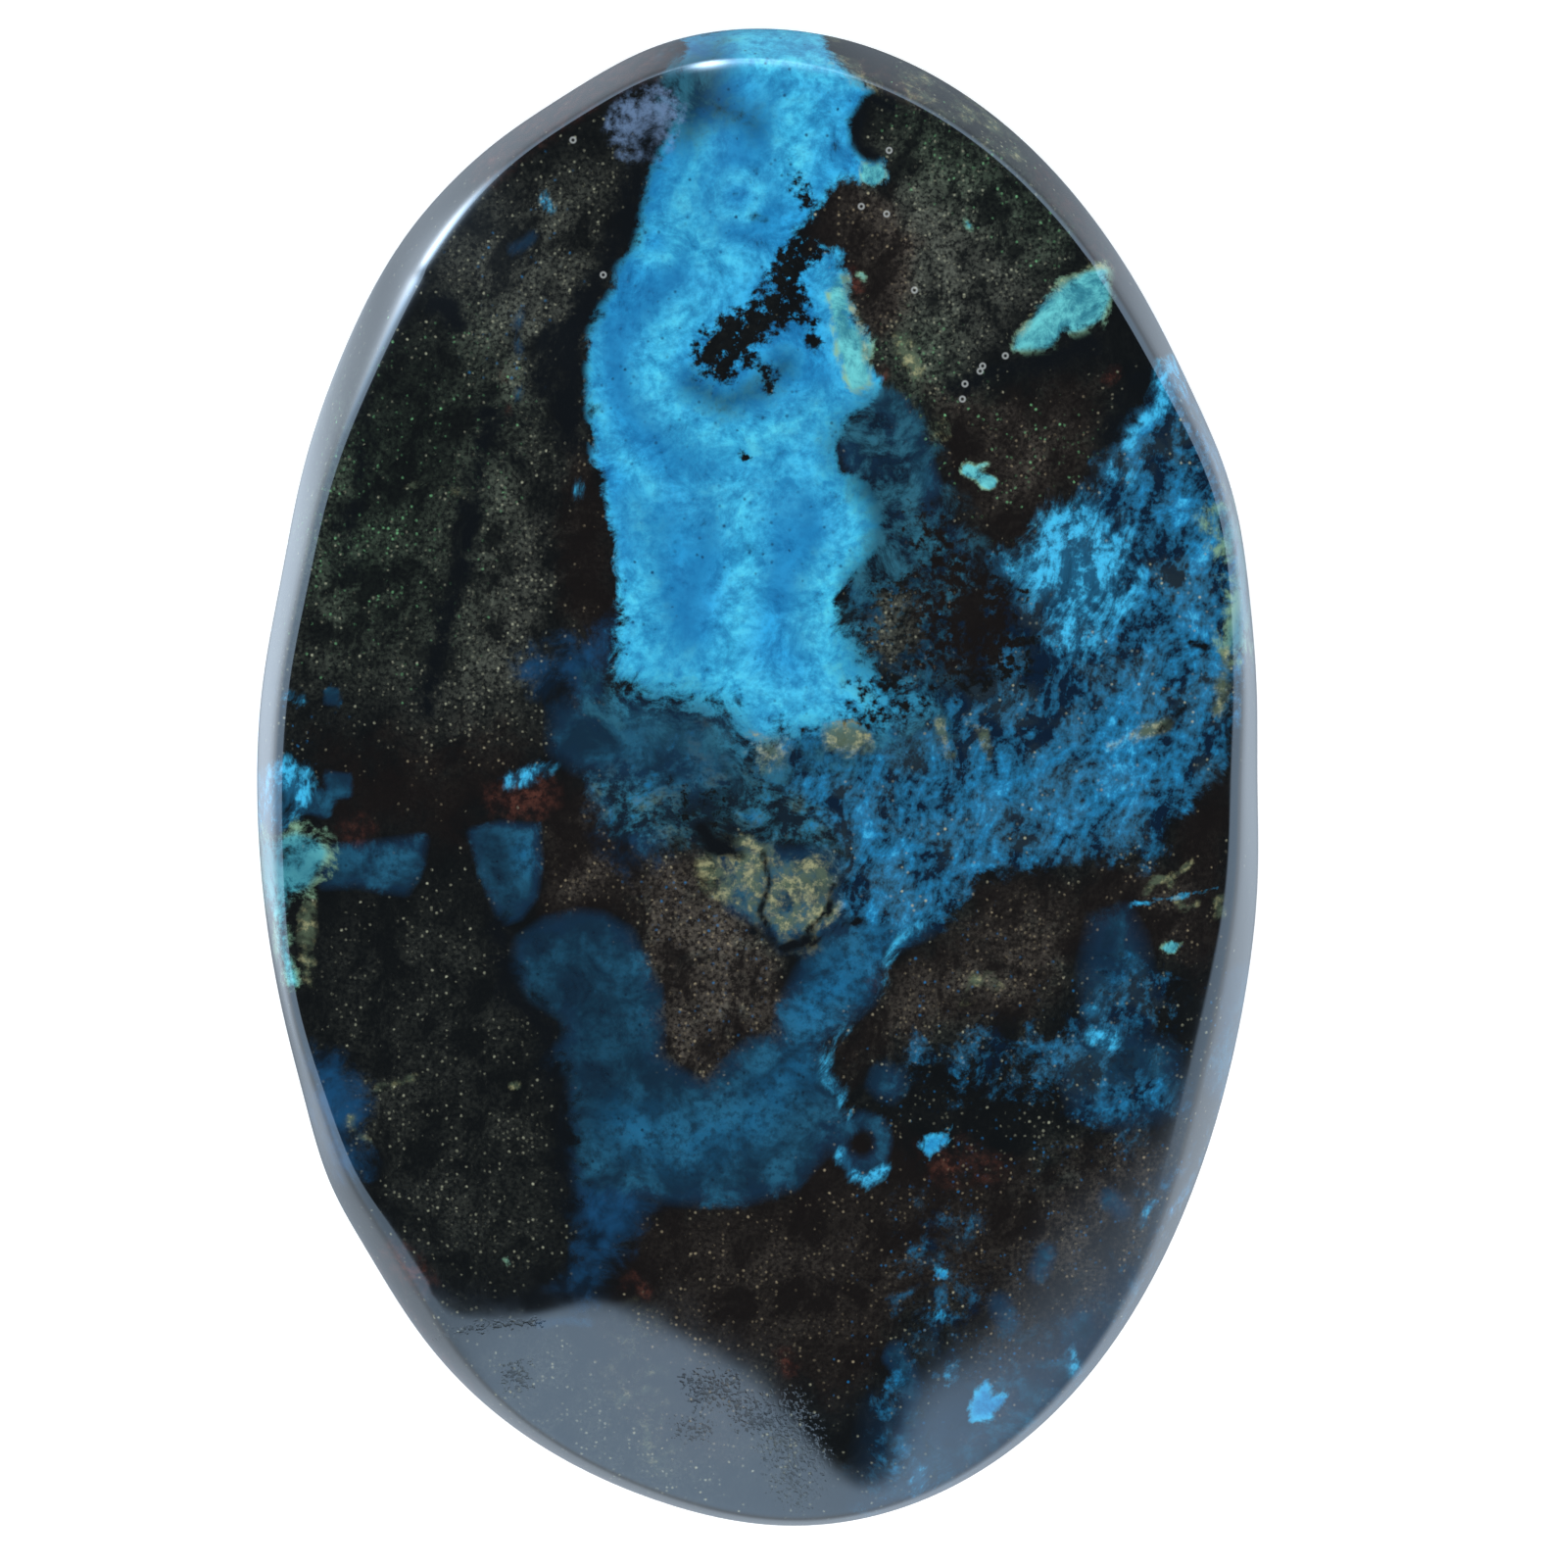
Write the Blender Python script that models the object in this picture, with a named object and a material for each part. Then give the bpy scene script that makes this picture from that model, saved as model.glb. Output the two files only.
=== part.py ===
"""Azurite chrysocolla cabochon: an oval stone with a low polished dome, a steep bevel and a flat back.

The stone is one piece and lies on its back. X is its width, Y its length and Z its thickness.
"""

import math

import bmesh
import bpy
from mathutils import Vector

MM = 0.001

# Size over all
LENGTH = 60.0 * MM
WIDTH = 40.0 * MM
THICKNESS = 7.0 * MM

# The oval was ground by hand. Each row is a place round it in degrees from +X, how far the change
# spreads in degrees, and how much the oval stands out there, as a share of its radius.
OVAL_SWELLS = (
    (22, 8, 0.016),
    (113, 9, -0.010),
    (136, 10, 0.009),
    (164, 8, -0.012),
    (212, 6, 0.012),
    (229, 12, 0.007),
    (257, 16, -0.012),
    (310, 31, 0.036),
    (360, 7, -0.010),
)

# Edge of the stone: the girdle is its widest line, and the bevel meets the dome at the crest
GIRDLE_HEIGHT = 2.4 * MM
CREST_HEIGHT = 5.3 * MM
BEVEL_RUN = 0.75 * MM
BEVEL_CURVE = 1.5

# The wall under the girdle and the ground-off corner of the back, as inset and height
BACK_CORNER = (
    (0.60 * MM, 0.00 * MM),
    (0.20 * MM, 0.20 * MM),
    (0.04 * MM, 0.60 * MM),
)

# Changes to the bevel's run along the edge, as place, spread and amount
BEVEL_CHANGES = (
    (20, 14, -0.35 * MM),
    (75, 27, 0.45 * MM),
    (141, 15, 0.50 * MM),
    (197, 10, -0.30 * MM),
    (222, 12, 0.45 * MM),
    (278, 35, -0.35 * MM),
    (338, 14, 0.50 * MM),
)

# The crest sinks and the dome falls away softly at the -Y end
CREST_CHANGES = ((268, 42, -1.7 * MM),)
DOME_SHOULDER = 0.35
SHOULDER_CHANGES = ((268, 48, 0.55),)

# Facets
POINTS_AROUND = 96
BEVEL_STEPS = 5
DOME_STEPS = 15

# Finish, as red, green and blue in linear light
STONE_COLOUR = (0.012, 0.075, 0.13, 1.0)
STONE_ROUGHNESS = 0.08


def clear_scene():
    """Removes whatever objects the file holds."""
    for old in list(bpy.data.objects):
        bpy.data.objects.remove(old, do_unlink=True)


def swell(degrees, places):
    """The sum of the smooth bumps and dips at one place round the stone."""
    total = 0.0
    for place, spread, amount in places:
        away = (degrees - place + 180.0) % 360.0 - 180.0
        total += amount * math.exp(-((away / spread) ** 2))
    return total


def places_around():
    """The places round the stone that have a row of corners, in degrees."""
    return [360.0 * i / POINTS_AROUND for i in range(POINTS_AROUND)]


def girdle_line():
    """The widest line of the stone, fitted to its width and length and centred."""
    line = []
    for degrees in places_around():
        reach = 1.0 + swell(degrees, OVAL_SWELLS)
        angle = math.radians(degrees)
        line.append((reach * math.cos(angle), reach * math.sin(angle)))
    fitted = []
    for side, size in ((0, WIDTH), (1, LENGTH)):
        low = min(p[side] for p in line)
        high = max(p[side] for p in line)
        fitted.append([((p[side] - low) / (high - low) - 0.5) * size for p in line])
    return [Vector((x, y, 0.0)) for x, y in zip(*fitted)]


def inward(line):
    """The level direction into the stone at each point of a closed line."""
    count = len(line)
    directions = []
    for i in range(count):
        along = line[(i + 1) % count] - line[i - 1]
        directions.append(Vector((-along.y, along.x, 0.0)).normalized())
    return directions


def edge_ring(insets, heights):
    """A ring at its own inset from the girdle line and its own height at each place."""
    line = girdle_line()
    ring = []
    for point, direction, inset, height in zip(line, inward(line), insets, heights):
        place = point + direction * inset
        ring.append(Vector((place.x, place.y, height)))
    return ring


def crest_heights():
    return [CREST_HEIGHT + swell(degrees, CREST_CHANGES) for degrees in places_around()]


def bevel_runs():
    return [BEVEL_RUN + swell(degrees, BEVEL_CHANGES) for degrees in places_around()]


def side_rings():
    """The flat back's edge, its ground-off corner and the girdle."""
    rings = []
    for inset, height in BACK_CORNER + ((0.0, GIRDLE_HEIGHT),):
        rings.append(edge_ring([inset] * POINTS_AROUND, [height] * POINTS_AROUND))
    return rings


def bevel_rings():
    """The bevel from just above the girdle up to the crest, steep at first and flatter at the crest."""
    rings = []
    for step in range(1, BEVEL_STEPS + 1):
        share = step / BEVEL_STEPS
        insets = [run * share**BEVEL_CURVE for run in bevel_runs()]
        heights = [GIRDLE_HEIGHT + (crest - GIRDLE_HEIGHT) * share for crest in crest_heights()]
        rings.append(edge_ring(insets, heights))
    return rings


def dome_rings():
    """The low dome, from just inside the crest to the small ring round its top."""
    crest = edge_ring(bevel_runs(), crest_heights())
    rings = []
    for step in range(1, DOME_STEPS):
        out = 1.0 - step / DOME_STEPS
        ring = []
        for degrees, corner in zip(places_around(), crest):
            shoulder = DOME_SHOULDER + swell(degrees, SHOULDER_CHANGES)
            fall = (1.0 - shoulder) * out**2 + shoulder * out**4
            height = THICKNESS - (THICKNESS - corner.z) * fall
            ring.append(Vector((corner.x * out, corner.y * out, height)))
        rings.append(ring)
    return rings


def add_ring(shape, ring):
    """Adds a closed ring of corners and returns its edges."""
    corners = [shape.verts.new(place) for place in ring]
    return [shape.edges.new((corners[i - 1], corners[i])) for i in range(len(corners))]


def stone_finish():
    """Polished stone: smooth, glossy and dark blue."""
    finish = bpy.data.materials.new("polished_stone")
    finish.use_nodes = True
    shader = finish.node_tree.nodes["Principled BSDF"]
    shader.inputs["Base Color"].default_value = STONE_COLOUR
    shader.inputs["Roughness"].default_value = STONE_ROUGHNESS
    shader.inputs["Metallic"].default_value = 0.0
    return finish


def make_cabochon():
    """The whole stone as one closed solid."""
    shape = bmesh.new()
    loops = [add_ring(shape, ring) for ring in side_rings() + bevel_rings() + dome_rings()]
    for lower, upper in zip(loops, loops[1:]):
        bmesh.ops.bridge_loops(shape, edges=lower + upper)
    bmesh.ops.contextual_create(shape, geom=loops[0])
    cap = bmesh.ops.contextual_create(shape, geom=loops[-1])["faces"]
    top = bmesh.ops.poke(shape, faces=cap)["verts"][0]
    top.co = Vector((0.0, 0.0, THICKNESS))
    bmesh.ops.recalc_face_normals(shape, faces=shape.faces)
    mesh = bpy.data.meshes.new("cabochon")
    shape.to_mesh(mesh)
    shape.free()
    mesh.materials.append(stone_finish())
    mesh.shade_smooth()
    mesh.set_sharp_from_angle(angle=math.radians(25.0))
    stone = bpy.data.objects.new("cabochon", mesh)
    bpy.context.scene.collection.objects.link(stone)
    return stone


clear_scene()
make_cabochon()
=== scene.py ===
"""Azurite chrysocolla cabochon: the looks of an oval stone with a low polished dome and a steep bevel.

X is the stone's width, Y its length and Z its thickness. It lies on its flat back with the dome up.
"""

import math

import bmesh
import bpy
import numpy as np
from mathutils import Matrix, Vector
from mathutils.geometry import delaunay_2d_cdt


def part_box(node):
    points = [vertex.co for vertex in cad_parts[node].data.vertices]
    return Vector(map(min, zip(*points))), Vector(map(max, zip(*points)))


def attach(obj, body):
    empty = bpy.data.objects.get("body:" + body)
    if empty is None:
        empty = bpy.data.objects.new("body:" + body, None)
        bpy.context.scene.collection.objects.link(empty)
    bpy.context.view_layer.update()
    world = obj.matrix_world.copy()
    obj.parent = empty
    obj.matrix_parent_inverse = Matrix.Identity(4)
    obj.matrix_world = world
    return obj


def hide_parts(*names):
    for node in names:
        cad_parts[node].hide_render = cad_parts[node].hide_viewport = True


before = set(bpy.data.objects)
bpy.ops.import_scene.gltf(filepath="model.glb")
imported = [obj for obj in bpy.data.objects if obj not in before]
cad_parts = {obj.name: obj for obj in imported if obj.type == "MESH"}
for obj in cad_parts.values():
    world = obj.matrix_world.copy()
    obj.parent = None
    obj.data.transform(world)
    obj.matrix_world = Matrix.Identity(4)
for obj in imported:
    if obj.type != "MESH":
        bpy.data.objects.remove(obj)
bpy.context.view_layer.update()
LOW, HIGH = (Vector(corner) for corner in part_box("cabochon"))

bl_info = {
    "name": "Azurite Chrysocolla Cabochon",
    "version": (1, 0, 0),
    "blender": (4, 5, 0),
    "location": "View3D > Sidebar > Cabochon",
    "description": "Cuts and polishes an oval stone of azurite and chrysocolla in dark matrix",
    "category": "Add Mesh",
}

MM = 0.001

# Kinds of node that most trees here use
MATH = "ShaderNodeMath"
VECTOR = "ShaderNodeVectorMath"
MIX = "ShaderNodeMix"
RANGE = "ShaderNodeMapRange"
NOISE = "ShaderNodeTexNoise"
ATTRIBUTE = "ShaderNodeAttribute"

# The oval was ground by hand. Each row is a place round it in degrees from +X, how far the change
# spreads in degrees, and how much the oval stands out there, as a share of its radius.
OVAL_SWELLS = (
    (22, 8, 0.016),
    (113, 9, -0.010),
    (136, 10, 0.009),
    (164, 8, -0.012),
    (212, 6, 0.012),
    (229, 12, 0.007),
    (257, 16, -0.012),
    (310, 31, 0.036),
    (360, 7, -0.010),
)

# Changes along the edge, as place, spread and amount: the bevel's run, the crest's height and how
# far the dome's fall is put off towards its edge
BEVEL_CHANGES = (
    (20, 14, -0.35 * MM),
    (75, 27, 0.45 * MM),
    (141, 15, 0.50 * MM),
    (197, 10, -0.30 * MM),
    (222, 12, 0.45 * MM),
    (278, 35, -0.35 * MM),
    (338, 14, 0.50 * MM),
)
CREST_CHANGES = ((268, 42, -1.7 * MM),)
SHOULDER_CHANGES = ((268, 48, 0.55),)

# The widest line of the stone
GIRDLE_HEIGHT = 2.4 * MM

# The sheet that wraps the stone: its cells, and the seed and scale per metre of the dome's dips
CELLS_ACROSS = 240
CELLS_ALONG = 320
DIP_SEED = 7.0
DIP_SCALE = 120.0

# Where the sheet that wraps the stone turns over, as shares of the way out from its middle
CREST_AT = 0.85
GIRDLE_AT = 0.95
CORNER_AT = 0.975
CREST_BAND = 0.03
CREST_PASSES = 4

# The middle of the back is filled with corners this far apart, clear of its edge by a share
BACK_PITCH = 0.45 * MM
BACK_CLEAR = 0.985

# The stone laid flat for its UV map: the side of the sheet, and the back's scale and place
SHEET = 74.0 * MM
BACK_SCALE = 0.5
FACE_CENTRE = Vector((26.4 * MM, 37.0 * MM))
BACK_CENTRE = Vector((63.4 * MM, 37.0 * MM))

# Where the photograph shows the stone: the pixel of its middle, the pixels in a millimetre at the
# girdle, how far off the camera was in millimetres, and how far the view leans from straight down
MIDDLE_PIXEL = (773.5, 797.0)
PIXELS_PER_MM = 25.55
CAMERA_AWAY = 521.8
VIEW_TILT = math.radians(5.0)

# The dome that the view is traced to, in millimetres: half its width and length at the crest, its
# rise over the girdle, how far it falls to the crest and how much further at the -Y end, and the
# width of the bevel as a share of the way out
CREST_HALF = (19.25, 29.2)
DOME_RISE = 4.6
CREST_FALL = 1.7
END_FALL = 1.7
BEVEL_SHARE = 0.04
TRACE_PASSES = 4

# Markings on the polished face, by mineral. Each has how soft its edge is in millimetres, how strong
# it is, for a vein half its width in millimetres, and the pixels round a patch or along a vein, which
# were picked on the photograph of 1576 by 1600 pixels.
PATCHES = {
    "sky": {
        "bright band": (0.35, 1, (
            (700, 44), (760, 26), (834, 32), (850, 60), (872, 84), (888, 98), (874, 120), (870, 145),
            (880, 165), (902, 170), (903, 182), (893, 192), (877, 185), (856, 181), (845, 196), (834, 212),
            (824, 232), (812, 238), (826, 250), (856, 260), (860, 282), (867, 304), (875, 330), (888, 346),
            (884, 371), (897, 389), (886, 410), (866, 427), (853, 452), (859, 478), (886, 492), (899, 512),
            (903, 540), (893, 566), (866, 590), (852, 612), (850, 645), (862, 662), (880, 672), (885, 690),
            (830, 698), (770, 700), (700, 690), (650, 690), (635, 690), (636, 660), (640, 633), (631, 604),
            (630, 569), (627, 534), (618, 505), (608, 475), (603, 448), (599, 408), (598, 349), (604, 322),
            (625, 301), (627, 272), (648, 255), (653, 215), (664, 172), (690, 130), (702, 96),
        )),
        "foot of the band": (1.3, 1, (
            (640, 660), (860, 650), (900, 690), (935, 720), (905, 740), (870, 742), (828, 743), (795, 753),
            (765, 766), (745, 726), (700, 714), (645, 710),
        )),
        "splash": (0.25, 1, ((938, 1168), (950, 1160), (968, 1156), (972, 1166), (958, 1172), (946, 1180))),
        "low splotch": (0.25, 1, (
            (1000, 1418), (1008, 1408), (1015, 1424), (1031, 1421), (1027, 1436), (1010, 1449),
            (995, 1449), (989, 1434),
        )),
    },
    "feather": {
        "cap beside the rim": (0.35, 1, (
            (1180, 372), (1198, 366), (1210, 385), (1202, 402), (1186, 411), (1174, 402),
        )),
        "bright cloud on the right": (1.2, 1, (
            (1041, 575), (1061, 545), (1085, 522), (1110, 515), (1125, 530), (1141, 545), (1150, 575),
            (1141, 610), (1109, 636), (1106, 662), (1086, 660), (1080, 620), (1058, 600),
        )),
        "lip of the cloud": (0.6, 0.95, (
            (996, 566), (1010, 560), (1030, 575), (1048, 576), (1058, 590), (1040, 595), (1012, 588),
        )),
        "blue at the left rim": (0.5, 0.9, (
            (262, 792), (292, 778), (308, 786), (316, 800), (313, 818), (300, 830), (280, 842), (262, 845),
        )),
    },
    "azure": {
        "speckled disc": (0.35, 0.6, (
            (892, 1092), (906, 1086), (922, 1094), (926, 1110), (912, 1124), (896, 1120), (888, 1108),
        )),
        "blue column low right": (0.7, 0.65, (
            (1118, 940), (1148, 930), (1165, 960), (1172, 1000), (1152, 1050), (1200, 1076), (1206, 1130),
            (1150, 1150), (1100, 1134), (1084, 1090), (1112, 1050), (1108, 990),
        )),
        "lower blue": (0.65, 1, (
            (590, 938), (560, 946), (535, 962), (529, 985), (545, 1015), (578, 1032), (588, 1052),
            (566, 1082), (588, 1095), (584, 1142), (592, 1205), (640, 1216), (700, 1220), (759, 1222),
            (808, 1207), (835, 1175), (853, 1143), (846, 1112), (833, 1090), (830, 1060), (863, 1039),
            (887, 1017), (895, 982), (916, 961), (945, 948), (905, 922), (870, 940), (845, 960),
            (822, 990), (803, 1030), (799, 1060), (764, 1070), (721, 1114), (690, 1100), (667, 1081),
            (668, 1040), (664, 1010), (650, 980), (640, 955), (615, 940),
        )),
        "blue cloud in the middle": (0.8, 0.8, (
            (571, 728), (600, 721), (640, 722), (665, 735), (650, 765), (615, 784), (590, 778), (571, 762),
        )),
        "light square": (0.3, 0.9, ((590, 685), (612, 685), (613, 709), (592, 710))),
        "blue wedge": (0.35, 1, (
            (483, 850), (512, 841), (546, 846), (549, 880), (545, 915), (530, 934), (514, 940), (499, 900),
        )),
        "blue chip by the left rim": (0.2, 0.9, ((335, 790), (358, 792), (357, 812), (336, 812))),
        "second chip by the left rim": (0.2, 0.9, (
            (312, 814), (326, 808), (340, 818), (333, 832), (311, 828),
        )),
        "third chip by the left rim": (0.2, 0.8, ((333, 705), (345, 705), (347, 718), (334, 718))),
        "blue strip from the left rim": (0.45, 0.85, (
            (335, 868), (380, 864), (430, 858), (426, 884), (412, 908), (391, 906), (363, 900), (331, 901),
        )),
        "blue under the band": (0.8, 0.62, (
            (640, 720), (700, 722), (745, 730), (756, 770), (742, 800), (690, 812), (640, 800), (620, 770),
        )),
        "blue under the gold": (0.5, 0.95, (
            (735, 870), (770, 864), (800, 872), (830, 868), (853, 880), (854, 935), (838, 962), (800, 966),
            (780, 940), (745, 925),
        )),
        "blue under the end": (1.6, 0.5, (
            (900, 1440), (990, 1400), (1060, 1380), (1150, 1300), (1180, 1340), (1100, 1450), (1000, 1520),
            (880, 1550),
        )),
    },
    "turquoise": {
        "turquoise wedge": (0.45, 1, (
            (1104, 278), (1127, 273), (1134, 305), (1122, 330), (1101, 341), (1086, 342), (1073, 360),
            (1034, 358), (1033, 346), (1053, 322), (1056, 310), (1084, 290),
        )),
        "turquoise at the left rim": (0.6, 0.8, (
            (262, 850), (300, 845), (325, 850), (339, 868), (331, 890), (315, 912), (284, 925), (264, 925),
        )),
        "green tip of the band": (0.2, 0.9, ((877, 170), (902, 168), (904, 182), (893, 194), (878, 188))),
        "green fleck low right": (0.2, 0.95, (
            (1184, 966), (1198, 958), (1206, 962), (1200, 974), (1190, 974),
        )),
        "pale turquoise lobe": (0.35, 0.95, (
            (846, 276), (862, 284), (872, 330), (890, 350), (888, 392), (868, 400), (856, 360), (848, 320),
        )),
    },
    "ochre": {
        "pale cluster": (0.3, 1, (
            (914, 346), (926, 346), (934, 358), (942, 376), (934, 386), (922, 372), (912, 360),
        )),
        "second pale cluster": (0.3, 0.7, ((950, 432), (964, 428), (973, 440), (962, 448), (950, 446))),
        "gold patch": (0.35, 1, ((842, 742), (868, 738), (888, 747), (886, 764), (862, 769), (845, 763))),
        "olive patch": (0.5, 0.72, ((764, 756), (800, 750), (806, 772), (776, 782))),
        "gold network": (0.6, 0.52, (
            (713, 908), (718, 882), (742, 858), (772, 860), (800, 872), (830, 868), (853, 880), (854, 935),
            (838, 962), (800, 970), (788, 948), (768, 930), (730, 926),
        )),
    },
    "dust": {
        "blue dust low right": (2.5, 0.6, (
            (900, 1080), (1000, 1020), (1120, 1000), (1230, 1000), (1250, 1120), (1180, 1260),
            (1080, 1400), (980, 1500), (900, 1470), (880, 1380), (900, 1280), (880, 1180),
        )),
        "blue dust by the left rim": (1, 0.5, ((285, 700), (345, 700), (365, 750), (340, 800), (290, 780))),
        "blue dust top left": (1.5, 0.22, ((480, 240), (560, 190), (580, 240), (540, 400), (480, 420))),
        "blue dust in the speckled brown": (1, 0.4, (
            (655, 890), (720, 880), (800, 980), (800, 1050), (720, 1100), (670, 1070),
        )),
        "blue dust in the brown hole": (0.7, 0.55, (
            (886, 606), (930, 596), (956, 630), (950, 680), (905, 690), (884, 660),
        )),
        "blue dust by the mottles": (1.2, 0.4, (
            (860, 960), (900, 920), (1000, 900), (1010, 960), (930, 1000), (880, 1000),
        )),
    },
    "rust": {
        "rust streak": (0.6, 0.75, (
            (500, 806), (530, 798), (563, 796), (566, 818), (540, 834), (505, 828),
        )),
        "dark red patch": (0.4, 0.5, ((347, 838), (368, 834), (382, 846), (372, 864), (350, 860))),
        "reddish shadow": (0.7, 0.4, ((940, 1172), (985, 1168), (1020, 1182), (1015, 1204), (960, 1206))),
    },
    "grain": {
        "dust in the brown hole": (0.5, 0.85, (
            (890, 606), (920, 600), (945, 620), (942, 668), (905, 684), (886, 660),
        )),
        "dust in the brown wedge": (0.8, 0.7, (
            (556, 850), (600, 820), (640, 860), (645, 900), (620, 930), (565, 935),
        )),
        "dense grains on the left": (2.5, 0.8, (
            (290, 420), (380, 360), (400, 450), (430, 600), (420, 700), (290, 720), (280, 560),
        )),
        "grains top left": (2.5, 0.9, (
            (440, 260), (540, 170), (620, 180), (620, 300), (580, 420), (570, 600), (560, 720), (450, 760),
            (440, 600), (460, 420),
        )),
        "grains low left": (2, 0.45, (
            (330, 960), (420, 920), (500, 930), (540, 1050), (575, 1180), (570, 1290), (480, 1320),
            (420, 1290), (350, 1180), (310, 1060),
        )),
        "grains top right": (2, 1, (
            (860, 190), (930, 110), (1040, 170), (1130, 270), (1060, 300), (1010, 370), (960, 450),
            (900, 400), (880, 300),
        )),
        "grains on the shelf": (1.5, 0.75, (
            (990, 400), (1120, 400), (1120, 460), (1060, 540), (1000, 540),
        )),
        "grains in the speckled brown": (0.9, 1, (
            (651, 880), (720, 866), (764, 930), (800, 975), (805, 1010), (795, 1058), (764, 1064),
            (721, 1112), (690, 1098), (670, 1081), (666, 1010), (648, 960),
        )),
        "grains low right": (2, 0.95, (
            (880, 1030), (990, 940), (1080, 900), (1100, 980), (1040, 1040), (940, 1060), (870, 1100),
        )),
        "grains by the right rim": (1.6, 0.6, (
            (1130, 880), (1235, 860), (1245, 960), (1190, 980), (1140, 930),
        )),
        "grains under the loops": (1.6, 0.55, (
            (1080, 1150), (1160, 1160), (1180, 1200), (1100, 1300), (1040, 1260),
        )),
        "dusty lower right": (2, 0.6, (
            (1010, 1250), (1130, 1150), (1230, 1130), (1210, 1280), (1120, 1420), (1010, 1500),
            (930, 1530), (980, 1400),
        )),
        "dust in the end": (1.8, 0.45, (
            (440, 1350), (700, 1350), (860, 1470), (830, 1550), (640, 1545), (480, 1450),
        )),
        "dust below the blue": (2, 0.5, (
            (640, 1250), (850, 1210), (1000, 1210), (1000, 1330), (860, 1420), (700, 1360),
        )),
    },
    "navy": {
        "navy at the band's top": (0.5, 0.85, (
            (688, 134), (697, 96), (700, 46), (752, 50), (756, 70), (750, 90), (735, 104), (712, 120),
        )),
        "navy in the lobe": (0.7, 1, (
            (866, 432), (890, 414), (910, 424), (922, 452), (930, 490), (950, 508), (975, 545), (990, 585),
            (950, 590), (925, 565), (905, 545), (901, 512), (886, 494), (858, 480), (852, 452),
        )),
        "navy cloud in the middle": (0.9, 0.75, (
            (532, 676), (560, 664), (600, 650), (625, 640), (632, 668), (615, 690), (590, 708), (548, 712),
        )),
        "navy column": (0.7, 0.95, (
            (588, 1205), (640, 1214), (665, 1232), (648, 1262), (628, 1295), (606, 1330), (575, 1338),
            (565, 1318), (590, 1290), (588, 1250),
        )),
        "navy at the left rim": (0.9, 0.8, (
            (310, 1075), (345, 1078), (368, 1110), (366, 1160), (380, 1195), (350, 1200), (325, 1170),
        )),
        "navy in the teal": (0.9, 0.7, (
            (600, 800), (660, 800), (700, 830), (680, 870), (640, 890), (615, 850),
        )),
    },
    "teal": {
        "teal with olive streaks": (0.9, 0.8, (
            (648, 716), (700, 716), (745, 724), (762, 766), (795, 750), (870, 742), (935, 722),
            (1000, 738), (1062, 760), (1070, 800), (1010, 850), (945, 890), (880, 905), (856, 872),
            (800, 866), (745, 856), (700, 862), (660, 866), (618, 840), (600, 800), (622, 765),
        )),
        "teal shade by the tongue": (0.5, 0.8, (
            (693, 380), (712, 372), (735, 388), (728, 408), (700, 412),
        )),
    },
    "deep": {
        "dim green in the band": (0.9, 0.95, (
            (636, 516), (672, 512), (696, 530), (690, 556), (650, 562), (636, 546),
        )),
    },
    "mottle": {
        "mottled right side": (0.7, 1, (
            (1204, 362), (1234, 430), (1262, 515), (1280, 600), (1284, 660), (1262, 700), (1246, 779),
            (1216, 814), (1189, 838), (1187, 870), (1168, 878), (1157, 868), (1136, 871), (1128, 856),
            (1115, 873), (1061, 881), (1012, 889), (986, 894), (980, 928), (945, 948), (900, 945),
            (868, 948), (856, 905), (862, 868), (840, 830), (800, 800), (770, 790), (765, 766), (800, 746),
            (889, 740), (925, 722), (928, 700), (905, 684), (888, 656), (880, 628), (866, 598), (900, 600),
            (930, 570), (960, 600), (1010, 600), (1045, 600), (1050, 575), (1068, 545), (1092, 520),
            (1116, 498), (1120, 478), (1140, 455), (1152, 430), (1172, 404),
        )),
        "mottles low right": (0.9, 0.62, (
            (1112, 980), (1140, 975), (1196, 990), (1200, 1040), (1180, 1070), (1130, 1068), (1105, 1040),
        )),
        "second mottles low right": (0.9, 0.6, (
            (1060, 1056), (1100, 1040), (1140, 1075), (1195, 1098), (1205, 1140), (1160, 1170),
            (1120, 1150), (1080, 1130),
        )),
        "mottles in the middle right": (1, 0.5, (
            (930, 1068), (990, 1050), (1060, 1050), (1075, 1090), (1040, 1120), (980, 1110), (940, 1100),
        )),
        "mottles at the right rim": (1, 0.45, (
            (1170, 1210), (1235, 1150), (1262, 1060), (1258, 1150), (1225, 1240), (1180, 1330),
            (1140, 1380), (1120, 1340), (1150, 1280),
        )),
        "mottles low down": (1.2, 0.42, (
            (930, 1230), (990, 1240), (1000, 1330), (980, 1400), (960, 1470), (975, 1540), (930, 1545),
            (890, 1500), (880, 1440), (920, 1380),
        )),
    },
    "brown": {
        "brown right of the band": (0.8, 0.95, (
            (852, 185), (905, 200), (935, 250), (930, 320), (900, 345), (880, 330), (866, 300), (856, 262),
            (828, 250), (820, 236), (838, 205),
        )),
        "brown shelf": (1.2, 0.9, (
            (950, 395), (1010, 400), (1060, 390), (1120, 385), (1130, 430), (1125, 470), (1100, 510),
            (1060, 545), (1040, 575), (1000, 556), (985, 540), (962, 505), (945, 460),
        )),
        "brown margin of the band": (0.9, 0.95, (
            (585, 450), (606, 470), (625, 520), (630, 600), (634, 700), (618, 706), (600, 700), (590, 650),
            (572, 620), (570, 540),
        )),
        "brown wedge in the middle": (0.7, 1, (
            (556, 835), (585, 800), (620, 808), (648, 850), (655, 895), (640, 935), (600, 936), (560, 945),
            (548, 925), (553, 880),
        )),
        "brown west of the middle": (1.5, 0.7, (
            (330, 750), (450, 745), (540, 740), (575, 790), (500, 840), (470, 870), (400, 860), (340, 850),
            (320, 790),
        )),
        "speckled brown": (0.8, 0.8, (
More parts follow.
